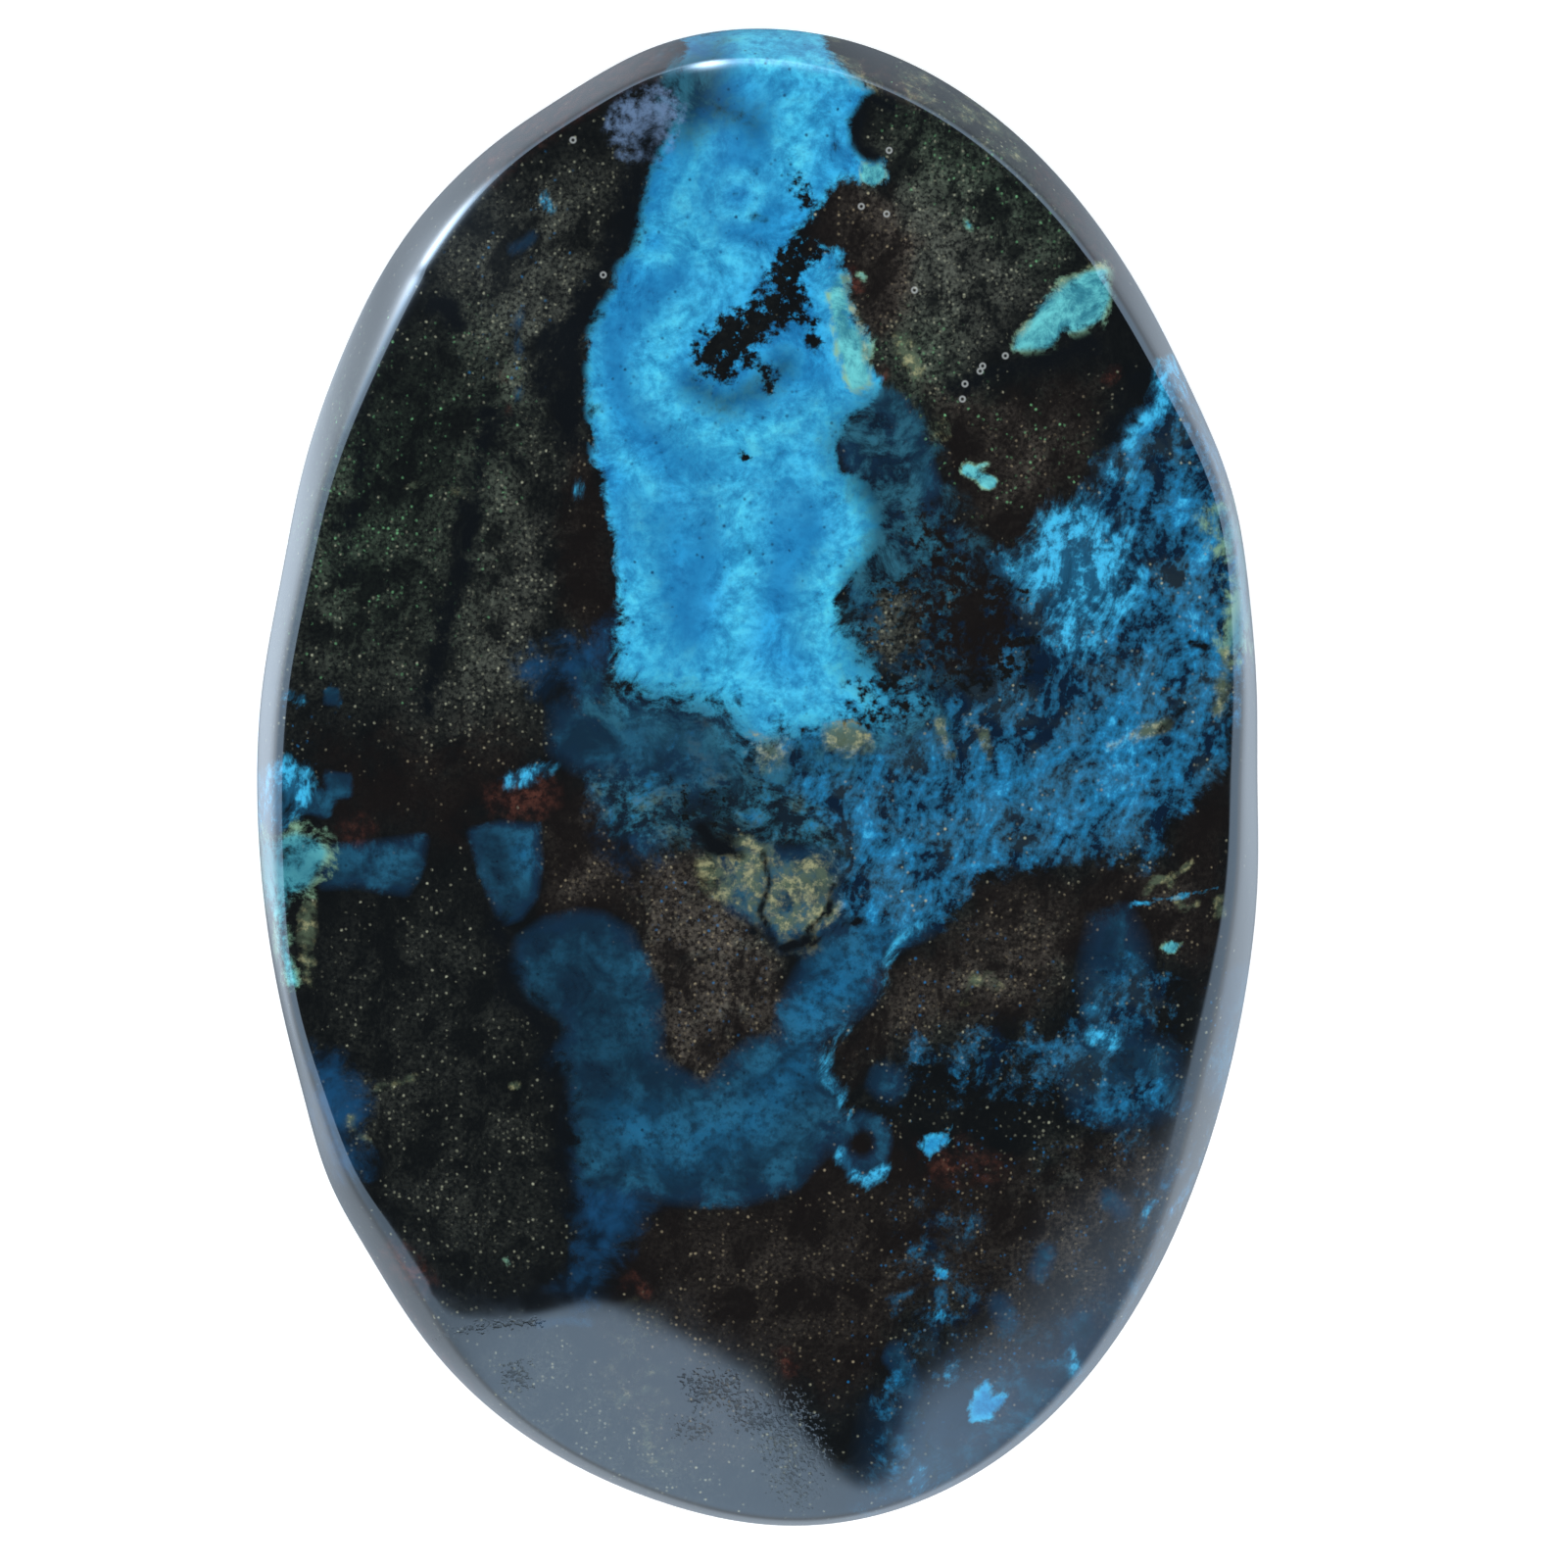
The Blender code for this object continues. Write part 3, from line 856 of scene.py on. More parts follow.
def tint(name, description, code):
    return bpy.props.FloatVectorProperty(
        name=name, description=description, default=linear(code), subtype="COLOR", min=0.0, max=1.0
    )


class CabochonSizes(bpy.types.PropertyGroup):
    """Sizes of the stone."""

    width: size("Width", "Width over all", HIGH.x - LOW.x)
    length: size("Length", "Length over all", HIGH.y - LOW.y)
    thickness: size("Thickness", "From the flat back to the top of the dome", HIGH.z - LOW.z)
    girdle_height: size("Girdle Height", "Height of the widest line", GIRDLE_HEIGHT)
    crest_height: size("Crest Height", "Height of the line where the bevel meets the dome", 5.3 * MM)
    bevel_run: size("Bevel Run", "How far the bevel leans in", 0.75 * MM)
    corner_height: size("Corner Height", "Height of the rounded corner of the back", 0.60 * MM)
    corner_reach: size("Corner Reach", "How far the back's corner is ground in", 0.56 * MM)
    wall_lean: size("Wall Lean", "How far the wall under the girdle leans in", 0.04 * MM)
    unevenness: size("Unevenness", "How far the hand-polished dome dips", 0.015 * MM)
    bevel_curve: bpy.props.FloatProperty(
        name="Bevel Curve", description="1 is a straight bevel, more is a rounded one", default=1.5
    )
    shoulder: bpy.props.FloatProperty(
        name="Dome Shoulder", description="How much of the dome's fall is near its edge", default=0.35
    )


class CabochonColours(bpy.types.PropertyGroup):
    """Colours of the minerals."""

    matrix: tint("Matrix", "Near-black rock between the blues", "#0a0c0d")
    haze: tint("Haze", "Fine dust in the rock", "#525750")
    haze_green: tint("Green Haze", "Fine green dust in the rock", "#425c48")
    umber: tint("Umber", "Brown rock", "#110e0d")
    haze_brown: tint("Brown Haze", "Fine dust in the brown rock", "#4b4741")
    khaki: tint("Khaki", "Fine grains in the rock", "#969a86")
    tan: tint("Tan", "Fine grains in the brown rock", "#8a8069")
    moss: tint("Moss", "Green grains in the rock", "#6aa878")
    rust: tint("Rust", "Dark iron stain", "#1f1211")
    rust_pale: tint("Pale Rust", "Bright iron stain", "#57332a")
    navy: tint("Navy", "Darkest azurite", "#0a1826")
    navy_pale: tint("Pale Navy", "Dark azurite", "#123c5e")
    teal: tint("Teal", "Dark streaked chrysocolla", "#0f1c27")
    teal_pale: tint("Pale Teal", "Streaked chrysocolla", "#25586c")
    azure: tint("Azure", "Soft mid blue", "#0f2536")
    azure_pale: tint("Pale Azure", "Paler mid blue", "#1b4d67")
    mottle: tint("Mottle", "Dark between the mottles", "#08182a")
    mottle_pale: tint("Pale Mottle", "The mottles", "#194f6e")
    clump: tint("Clump", "Clumps of blue in the mottles", "#1c70a0")
    clump_pale: tint("Pale Clump", "Brightest clumps of blue", "#3aa6d4")
    sky: tint("Sky", "Main colour of the bright band", "#2a98cf")
    sky_deep: tint("Deep Sky", "Deeper parts of the bright band", "#166599")
    sky_pale: tint("Pale Sky", "Rings and rims in the bright band", "#40b6d9")
    sky_palest: tint("Palest Sky", "Palest blue", "#58c8de")
    turquoise: tint("Turquoise", "Green-blue chrysocolla", "#2c7284")
    turquoise_pale: tint("Pale Turquoise", "Pale green-blue", "#62bcc2")
    leaf: tint("Leaf", "Yellow-green rims", "#7d9a74")
    ochre: tint("Ochre", "Olive ochre", "#4c5a49")
    ochre_pale: tint("Pale Ochre", "Golden ochre", "#979873")
    bloom: tint("Bloom", "Lavender haze", "#86a9d8")
    shadow: tint("Shadow", "Black patches in the blue", "#0a0d10")
    # Painted highlight: the bright rims of the tiny bubbles stand in for the light that they catch
    painted_glint: tint("Glint", "Rims of the tiny bubbles", "#dfe8ea")


class CabochonStage(bpy.types.PropertyGroup):
    """Camera and floor."""

    tilt: bpy.props.FloatProperty(
        name="Tilt",
        description="Lean of the view from straight down",
        default=VIEW_TILT,
        subtype="ANGLE",
    )
    lens: bpy.props.FloatProperty(name="Lens", description="Focal length in millimetres", default=300.0)
    view_height: size("View Height", "Height of the picture at the girdle", 62.62 * MM)
    aim_across: size("Aim Across", "How far right of the stone's middle the view is aimed", 0.57 * MM)
    floor_side: size("Floor Side", "Side of the square floor", 1.6)
    floor: tint("Floor", "Pale floor", "#f2f4f5")


def put(tree, kind, *values, out=None, **settings):
    """Adds a node with its settings, fills its inputs in order and returns one of its outputs."""
    node = tree.nodes.new(kind)
    for name, value in settings.items():
        setattr(node, name, value)
    shown = [socket for socket in node.inputs if socket.enabled]
    for socket, value in zip(shown, values):
        if isinstance(value, bpy.types.NodeSocket):
            tree.links.new(value, socket)
        elif value is not None:
            socket.default_value = value
    given = [socket for socket in node.outputs if socket.enabled]
    return next(socket for socket in given if out in (None, socket.name))


def swell(tree, degrees, rows):
    """The sum of the smooth bumps and dips at each place round the stone."""
    total = 0.0
    for place, spread, amount in rows:
        past = put(tree, MATH, degrees, place, operation="SUBTRACT")
        away = put(tree, MATH, past, 180.0, -180.0, operation="WRAP")
        share = put(tree, MATH, away, spread, operation="DIVIDE")
        squared = put(tree, MATH, share, share, operation="MULTIPLY")
        falling = put(tree, MATH, squared, -1.0, operation="MULTIPLY")
        bump = put(tree, MATH, falling, operation="EXPONENT")
        total = put(tree, MATH, bump, amount, total, operation="MULTIPLY_ADD")
    return total


def way_out_and_angle(tree):
    """How far out each corner of the square sheet is, from 0 to 1, and its angle once it is round."""
    place = put(tree, "GeometryNodeInputPosition")
    across = put(tree, "ShaderNodeSeparateXYZ", place, out="X")
    along = put(tree, "ShaderNodeSeparateXYZ", place, out="Y")
    wide = put(tree, MATH, across, operation="ABSOLUTE")
    tall = put(tree, MATH, along, operation="ABSOLUTE")
    way_out = put(tree, MATH, wide, tall, operation="MAXIMUM")
    steep = put(tree, MATH, along, across, operation="DIVIDE")
    left = put(tree, MATH, across, 0.0, operation="LESS_THAN")
    half = put(tree, MATH, left, math.pi, operation="MULTIPLY")
    side_angle = put(tree, MATH, steep, math.pi / 4, half, operation="MULTIPLY_ADD")
    flat = put(tree, MATH, across, along, operation="DIVIDE")
    below = put(tree, MATH, along, 0.0, operation="LESS_THAN")
    start = put(tree, MATH, below, math.pi, math.pi / 2, operation="MULTIPLY_ADD")
    end_angle = put(tree, MATH, flat, -math.pi / 4, start, operation="MULTIPLY_ADD")
    on_side = put(tree, MATH, wide, tall, operation="GREATER_THAN")
    return way_out, put(tree, MIX, on_side, end_angle, side_angle)


def oval(tree, sheet, angle, degrees, width, length):
    """The widest line of the stone, fitted to its width and length and centred."""
    swells = swell(tree, degrees, OVAL_SWELLS)
    reach = put(tree, MATH, swells, 1.0, operation="ADD")
    across = put(tree, MATH, angle, operation="COSINE")
    along = put(tree, MATH, angle, operation="SINE")
    circle = put(tree, "ShaderNodeCombineXYZ", across, along, 0.0)
    line = put(tree, VECTOR, circle, reach, operation="SCALE")
    spread = {"data_type": "FLOAT_VECTOR", "domain": "POINT"}
    least = put(tree, "GeometryNodeAttributeStatistic", sheet, None, line, out="Min", **spread)
    span = put(tree, "GeometryNodeAttributeStatistic", sheet, None, line, out="Range", **spread)
    started = put(tree, VECTOR, line, least, operation="SUBTRACT")
    shares = put(tree, VECTOR, started, span, operation="DIVIDE")
    centred = put(tree, VECTOR, shares, (0.5, 0.5, 0.0), operation="SUBTRACT")
    over_all = put(tree, "ShaderNodeCombineXYZ", width, length, 0.0)
    return put(tree, VECTOR, centred, over_all, operation="MULTIPLY")


def outward(tree, line, width, length):
    """The level direction out of the oval at each of its places."""
    over_all = put(tree, "ShaderNodeCombineXYZ", width, length, 1.0)
    once = put(tree, VECTOR, line, over_all, operation="DIVIDE")
    twice = put(tree, VECTOR, once, over_all, operation="DIVIDE")
    return put(tree, VECTOR, twice, operation="NORMALIZE")


def cabochon_tree():
    """Node tree that wraps a square sheet round the stone: dome, crest, bevel, girdle, wall and corner."""
    tree = bpy.data.node_groups.new("cabochon_form", "GeometryNodeTree")
    for name in (
        "Width", "Length", "Thickness", "Girdle Height", "Crest Height", "Bevel Run", "Corner Height",
        "Corner Reach", "Wall Lean", "Unevenness", "Bevel Curve", "Shoulder", "Seed",
    ):
        tree.interface.new_socket(name, in_out="INPUT", socket_type="NodeSocketFloat")
    for name in ("Cells Across", "Cells Along"):
        tree.interface.new_socket(name, in_out="INPUT", socket_type="NodeSocketInt")
    tree.interface.new_socket("Finish", in_out="INPUT", socket_type="NodeSocketMaterial")
    tree.interface.new_socket("Stone", in_out="OUTPUT", socket_type="NodeSocketGeometry")
    given = tree.nodes.new("NodeGroupInput").outputs

    columns = put(tree, MATH, given["Cells Across"], 1.0, operation="ADD")
    rows = put(tree, MATH, given["Cells Along"], 1.0, operation="ADD")
    sheet = put(tree, "GeometryNodeMeshGrid", 2.0, 2.0, columns, rows)
    way_out, angle = way_out_and_angle(tree)
    degrees = put(tree, MATH, angle, operation="DEGREES")
    line = oval(tree, sheet, angle, degrees, given["Width"], given["Length"])
    out_of = outward(tree, line, given["Width"], given["Length"])

    # Shares of the way over the dome, up the bevel, down the wall and round the corner
    over = put(tree, RANGE, way_out, 0.0, CREST_AT, 0.0, 1.0)
    up = put(tree, RANGE, way_out, CREST_AT, GIRDLE_AT, 1.0, 0.0)
    down = put(tree, RANGE, way_out, GIRDLE_AT, CORNER_AT, 0.0, 1.0)
    turn = put(tree, RANGE, way_out, CORNER_AT, 1.0, 0.0, math.pi / 2)

    # How far in from the oval
    changes = swell(tree, degrees, BEVEL_CHANGES)
    run = put(tree, MATH, given["Bevel Run"], changes, operation="ADD")
    lean = put(tree, MATH, up, given["Bevel Curve"], operation="POWER")
    bevel_in = put(tree, MATH, run, lean, operation="MULTIPLY")
    wall_in = put(tree, MATH, given["Wall Lean"], down, bevel_in, operation="MULTIPLY_ADD")
    cosine = put(tree, MATH, turn, operation="COSINE")
    rounding = put(tree, MATH, 1.0, cosine, operation="SUBTRACT")
    corner_in = put(tree, MATH, given["Corner Reach"], rounding, operation="MULTIPLY")
    inset = put(tree, MATH, wall_in, corner_in, operation="ADD")

    # How high
    crest = put(tree, MATH, given["Crest Height"], swell(tree, degrees, CREST_CHANGES), operation="ADD")
    bevel_rise = put(tree, MATH, crest, given["Girdle Height"], operation="SUBTRACT")
    girdle_drop = put(tree, MATH, given["Corner Height"], given["Girdle Height"], operation="SUBTRACT")
    sine = put(tree, MATH, turn, operation="SINE")
    corner_drop = put(tree, MATH, given["Corner Height"], -1.0, operation="MULTIPLY")
    on_bevel = put(tree, MATH, bevel_rise, up, given["Girdle Height"], operation="MULTIPLY_ADD")
    on_wall = put(tree, MATH, girdle_drop, down, on_bevel, operation="MULTIPLY_ADD")
    edge_height = put(tree, MATH, corner_drop, sine, on_wall, operation="MULTIPLY_ADD")

    # The dome's rise over the crest
    shoulders = swell(tree, degrees, SHOULDER_CHANGES)
    shoulder = put(tree, MATH, given["Shoulder"], shoulders, operation="ADD")
    even = put(tree, MATH, 1.0, shoulder, operation="SUBTRACT")
    squared = put(tree, MATH, over, over, operation="MULTIPLY")
    fourth = put(tree, MATH, squared, squared, operation="MULTIPLY")
    late_fall = put(tree, MATH, shoulder, fourth, operation="MULTIPLY")
    fall = put(tree, MATH, even, squared, late_fall, operation="MULTIPLY_ADD")
    full_rise = put(tree, MATH, given["Thickness"], crest, operation="SUBTRACT")
    left_over = put(tree, MATH, 1.0, fall, operation="SUBTRACT")
    height = put(tree, MATH, full_rise, left_over, edge_height, operation="MULTIPLY_ADD")

    # The dome's slight unevenness
    flat_line = put(tree, VECTOR, line, over, operation="SCALE")
    dips = put(tree, NOISE, flat_line, given["Seed"], DIP_SCALE, 1.0, 0.5, noise_dimensions="4D")
    off_edge = put(tree, MATH, over, fourth, operation="SUBTRACT")
    dip = put(tree, MATH, dips, off_edge, operation="MULTIPLY")
    dip = put(tree, MATH, dip, given["Unevenness"], operation="MULTIPLY")
    height = put(tree, MATH, height, dip, operation="SUBTRACT")

    # The place of each corner
    inward = put(tree, MATH, inset, -1.0, operation="MULTIPLY")
    moved_in = put(tree, VECTOR, out_of, inward, operation="SCALE")
    ring = put(tree, VECTOR, line, moved_in, operation="ADD")
    level = put(tree, VECTOR, ring, over, operation="SCALE")
    lift = put(tree, "ShaderNodeCombineXYZ", 0.0, 0.0, height)
    place = put(tree, VECTOR, level, lift, operation="ADD")

    # The same corners laid flat, the bevel and the wall turned up outwards round the dome
    full_in = put(tree, MATH, run, -1.0, operation="MULTIPLY")
    crest_in = put(tree, VECTOR, out_of, full_in, operation="SCALE")
    crest_line = put(tree, VECTOR, line, crest_in, operation="ADD")
    dome_flat = put(tree, VECTOR, crest_line, over, operation="SCALE")
    drop = put(tree, MATH, crest, edge_height, operation="SUBTRACT")
    grown = put(tree, MATH, run, bevel_in, operation="SUBTRACT")
    so_far = put(tree, MATH, drop, grown, operation="ADD")
    travel = put(tree, MATH, so_far, corner_in, operation="ADD")
    edge_flat = put(tree, VECTOR, out_of, travel, operation="SCALE")
    laid_flat = put(tree, VECTOR, dome_flat, edge_flat, operation="ADD")
    stored = {"data_type": "FLOAT_VECTOR", "domain": "POINT"}
    shape = put(tree, "GeometryNodeStoreNamedAttribute", sheet, None, "laid_flat", laid_flat, **stored)

    # The crest is softened by the polish
    from_crest = put(tree, MATH, way_out, CREST_AT, operation="SUBTRACT")
    near = put(tree, MATH, from_crest, operation="ABSOLUTE")
    soft = put(tree, RANGE, near, 0.0, CREST_BAND, 1.0, 0.0, interpolation_type="SMOOTHSTEP")
    softened = put(tree, "GeometryNodeBlurAttribute", place, CREST_PASSES, soft, data_type="FLOAT_VECTOR")
    shape = put(tree, "GeometryNodeSetPosition", shape, None, softened)
    whole = put(tree, "GeometryNodeRealizeInstances", shape)
    finished = put(tree, "GeometryNodeSetMaterial", whole, None, given["Finish"])
    tree.links.new(finished, tree.nodes.new("NodeGroupOutput").inputs["Stone"])
    return tree


def grow_mesh(name, tree, settings):
    """Runs a node tree on a new object and leaves its result there as a plain mesh."""
    piece = bpy.data.objects.new(name, bpy.data.meshes.new(name))
    bpy.context.scene.collection.objects.link(piece)
    modifier = piece.modifiers.new("form", "NODES")
    modifier.node_group = tree
    for item in tree.interface.items_tree:
        if item.in_out == "INPUT":
            modifier[item.identifier] = settings[item.name]
    graph = bpy.context.evaluated_depsgraph_get()
    ready = piece.evaluated_get(graph)
    mesh = bpy.data.meshes.new_from_object(ready, preserve_all_data_layers=True, depsgraph=graph)
    piece.modifiers.remove(modifier)
    piece.data = mesh
    mesh.name = name
    return piece


def close_back(mesh):
    """Fills the flat back inside the open edge of the sheet and returns the number of faces before it."""
    shape = bmesh.new()
    shape.from_mesh(mesh)
    rim = {corner for edge in shape.edges if edge.is_boundary for corner in edge.verts}
    rim = sorted(rim, key=lambda corner: math.atan2(corner.co.y, corner.co.x))
    faces_before = len(shape.faces)
    angles = [math.atan2(corner.co.y, corner.co.x) for corner in rim]
    reaches = [corner.co.xy.length for corner in rim]
    points = [corner.co.xy / MM for corner in rim]
    rows = int(HIGH.y / BACK_PITCH) + 1
    columns = int(HIGH.x / BACK_PITCH) + 1
    for j in range(-rows, rows + 1):
        for i in range(-columns, columns + 1):
            point = Vector(((i + 0.5 * (j % 2)) * BACK_PITCH, j * BACK_PITCH * math.sqrt(0.75)))
            edge = np.interp(math.atan2(point.y, point.x), angles, reaches, period=2 * math.pi)
            if point.length < BACK_CLEAR * edge:
                points.append(point / MM)
    ring = [(i, (i + 1) % len(rim)) for i in range(len(rim))]
    filled = delaunay_2d_cdt(points, ring, [], 1, 1e-6)
    corners = []
    for place, sources in zip(filled[0], filled[3]):
        on_rim = [i for i in sources if i < len(rim)]
        new = rim[on_rim[0]] if on_rim else shape.verts.new((place.x * MM, place.y * MM, 0.0))
        corners.append(new)
    for face in filled[2]:
        shape.faces.new([corners[i] for i in reversed(face)])
    shape.to_mesh(mesh)
    shape.free()
    return faces_before


def lay_out_uv(mesh, faces_before):
    """Lays the dome with its turned-up edge, and the back at a smaller scale, side by side on one sheet."""
    corners = np.empty(len(mesh.loops), dtype=np.int32)
    mesh.loops.foreach_get("vertex_index", corners)
    flat = np.empty(len(mesh.vertices) * 3)
    mesh.attributes["laid_flat"].data.foreach_get("vector", flat)
    flat = flat.reshape(-1, 3)[:, :2]
    places = np.empty(len(mesh.vertices) * 3)
    mesh.vertices.foreach_get("co", places)
    below = places.reshape(-1, 3)[:, :2] * (-BACK_SCALE, BACK_SCALE)
    back_start = mesh.polygons[faces_before].loop_start
    sheet = np.empty((len(corners), 2))
    sheet[:back_start] = flat[corners[:back_start]] + FACE_CENTRE
    sheet[back_start:] = below[corners[back_start:]] + BACK_CENTRE
    layer = mesh.uv_layers.new(name="OFBake")
    layer.uv.foreach_set("vector", (sheet / SHEET).ravel())


def on_stone(pixel):
    """The place on the polished face, in millimetres, that a pixel of the photograph shows."""
    level_x = (pixel[0] - MIDDLE_PIXEL[0]) / PIXELS_PER_MM
    level_y = (MIDDLE_PIXEL[1] - pixel[1]) / PIXELS_PER_MM
    x, y = level_x, level_y
    for _ in range(TRACE_PASSES):
        out = math.hypot(x / CREST_HALF[0], y / CREST_HALF[1])
        fall = CREST_FALL + END_FALL * max(0.0, -y / CREST_HALF[1]) ** 2
        height = DOME_RISE - fall * min(out, 1.0) ** 2
        if out > 1.0:
            height *= max(0.0, 1.0 - (out - 1.0) / BEVEL_SHARE)
        nearer = 1.0 - height / CAMERA_AWAY
        x = level_x * nearer
        y = (level_y * nearer + height * math.sin(VIEW_TILT)) / math.cos(VIEW_TILT)
    return round(x, 1), round(y, 1)


def nearest(across, along, line, closed):
    """How far each point is from a line of straight runs."""
    ends = list(zip(line, line[1:] + (line[:1] if closed else ())))
    away = np.full(across.shape, np.inf)
    for (ax, ay), (bx, by) in ends:
        run, rise = bx - ax, by - ay
        share = ((across - ax) * run + (along - ay) * rise) / max(run * run + rise * rise, 1e-9)
        share = np.clip(share, 0.0, 1.0)
        away = np.minimum(away, np.hypot(across - ax - share * run, along - ay - share * rise))
    return away


def inside(across, along, line):
    """Which points a closed line goes round."""
    within = np.zeros(across.shape, dtype=bool)
    for (ax, ay), (bx, by) in zip(line, line[1:] + line[:1]):
        crosses = (ay > along) != (by > along)
        at = ax + (bx - ax) * (along - ay) / (by - ay if by != ay else 1.0)
        within ^= crosses & (across < at)
    return within


def near_points(across, along, line, margin):
    """The points within a margin of a line's box, so that the rest need no sums."""
    xs = [x for x, y in line]
    ys = [y for x, y in line]
    wide = (across > min(xs) - margin) & (across < max(xs) + margin)
    return np.nonzero(wide & (along > min(ys) - margin) & (along < max(ys) + margin))[0]


def lay_marking(field, near, depth, soft, strength):
    """Adds one marking to a mineral's field: 0.5 on its line, its full strength inside."""
    share = np.clip(depth / soft, -1.0, 1.0) * 0.5 + 0.5
    field[near] = 1.0 - (1.0 - field[near]) * (1.0 - share * strength)


def place_markings(mesh):
    """Gives each corner of the stone its share of each mineral."""
    places = np.empty(len(mesh.vertices) * 3)
    mesh.vertices.foreach_get("co", places)
    x, y, z = places.reshape(-1, 3).T / MM
    low = np.clip(1.0 - z * MM / GIRDLE_HEIGHT, 0.0, 1.0)
    across = x + low * (DRIFT[0] + SWAY[0] * np.sin(y / SWAY_PITCH[0]))
    along = y + low * (DRIFT[1] + SWAY[1] * np.cos(x / SWAY_PITCH[1]))
    for mineral in sorted({*PATCHES, *VEINS}):
        field = np.zeros(x.shape)
        for soft, strength, pixels in PATCHES.get(mineral, {}).values():
            line = tuple(on_stone(pixel) for pixel in pixels)
            near = near_points(across, along, line, soft)
            depth = nearest(across[near], along[near], line, True)
            depth = np.where(inside(across[near], along[near], line), depth, -depth)
            lay_marking(field, near, depth, soft, strength)
        for soft, strength, half_width, pixels in VEINS.get(mineral, {}).values():
            line = tuple(on_stone(pixel) for pixel in pixels)
            near = near_points(across, along, line, soft + half_width)
            depth = half_width - nearest(across[near], along[near], line, False)
            lay_marking(field, near, depth, soft, strength)
        mesh.attributes.new(mineral, "FLOAT", "POINT").data.foreach_set("value", field)


def cover(tree, mineral, breakup, amount, soft):
    """How much of a mineral shows: its place on the stone, its edge broken up by a noise."""
    field = put(tree, ATTRIBUTE, out="Fac", attribute_name=mineral)
    moved = put(tree, MATH, breakup, amount, -0.5 * amount, operation="MULTIPLY_ADD")
    total = put(tree, MATH, field, moved, operation="ADD")
    present = put(tree, RANGE, field, 0.02, 0.22, 0.0, 1.0)
    reached = put(tree, RANGE, total, 0.5 - soft, 0.5 + soft, 0.0, 1.0, interpolation_type="SMOOTHSTEP")
    return put(tree, MATH, present, reached, operation="MULTIPLY")


def between(tree, value, low, high, first, second):
    """Colour that goes from one shade to another as a value rises."""
    share = put(tree, RANGE, value, low, high, 0.0, 1.0, interpolation_type="SMOOTHSTEP")
    return put(tree, MIX, share, first, second, data_type="RGBA")


def shared_noises(tree, mm):
    """The noises that the minerals share: slow clouds, chipped edges, crumbs, streaks, strands and dust."""
    bend = put(tree, NOISE, mm, 1.0 / BEND_PITCH, 1.0, 0.5, out="Color")
    bent = put(tree, VECTOR, bend, [BEND_REACH] * 3, mm, operation="MULTIPLY_ADD")
    level = put(tree, VECTOR, bent, LEVEL_STRETCH, operation="MULTIPLY")
    turned = put(tree, "ShaderNodeVectorRotate", bent, None, SLANT, rotation_type="Z_AXIS")
    slanted = put(tree, VECTOR, turned, STRAND_STRETCH, operation="MULTIPLY")
    return {
        "cloud": put(tree, NOISE, bent, 1.0 / CLOUD_PITCH, 4.0, 0.58),
        "chip": put(tree, NOISE, bent, 1.0 / CHIP_PITCH, 7.0, 0.72),
        "crumb": put(tree, NOISE, mm, 1.0 / CRUMB_PITCH, 4.0, 0.65),
        "streak": put(tree, NOISE, level, 1.0 / STREAK_PITCH, 5.0, 0.68),
        "strand": put(tree, NOISE, slanted, 1.0 / STRAND_PITCH, 6.0, 0.70),
        "dust": put(tree, NOISE, mm, 1.0 / DUST_PITCH, 2.0, 0.6),
    }


def grit(tree, mm):
    """A random honeycomb: how far each place is from its cell's middle, and three chances for each cell."""
    away = put(tree, "ShaderNodeTexVoronoi", mm, 1.0 / GRIT_PITCH, out="Distance")
    cell = away.node.outputs["Color"]
    return away, [put(tree, "ShaderNodeSeparateColor", cell, out=name) for name in ("Red", "Green", "Blue")]


def specks(tree, away, chance, near, share):
    """Round specks in a share of the cells, each with its own brightness."""
    least = put(tree, MATH, 1.0, share, operation="SUBTRACT")
    lit = put(tree, RANGE, chance, least, 1.0, 0.25, 1.0)
    lit = put(tree, MATH, lit, 2.0, operation="POWER")
    rounded = put(tree, RANGE, away, near, 0.3 * near, 0.0, 1.0)
    chosen = put(tree, MATH, chance, least, operation="GREATER_THAN")
    bright = put(tree, MATH, lit, chosen, operation="MULTIPLY")
    return put(tree, MATH, bright, rounded, operation="MULTIPLY")


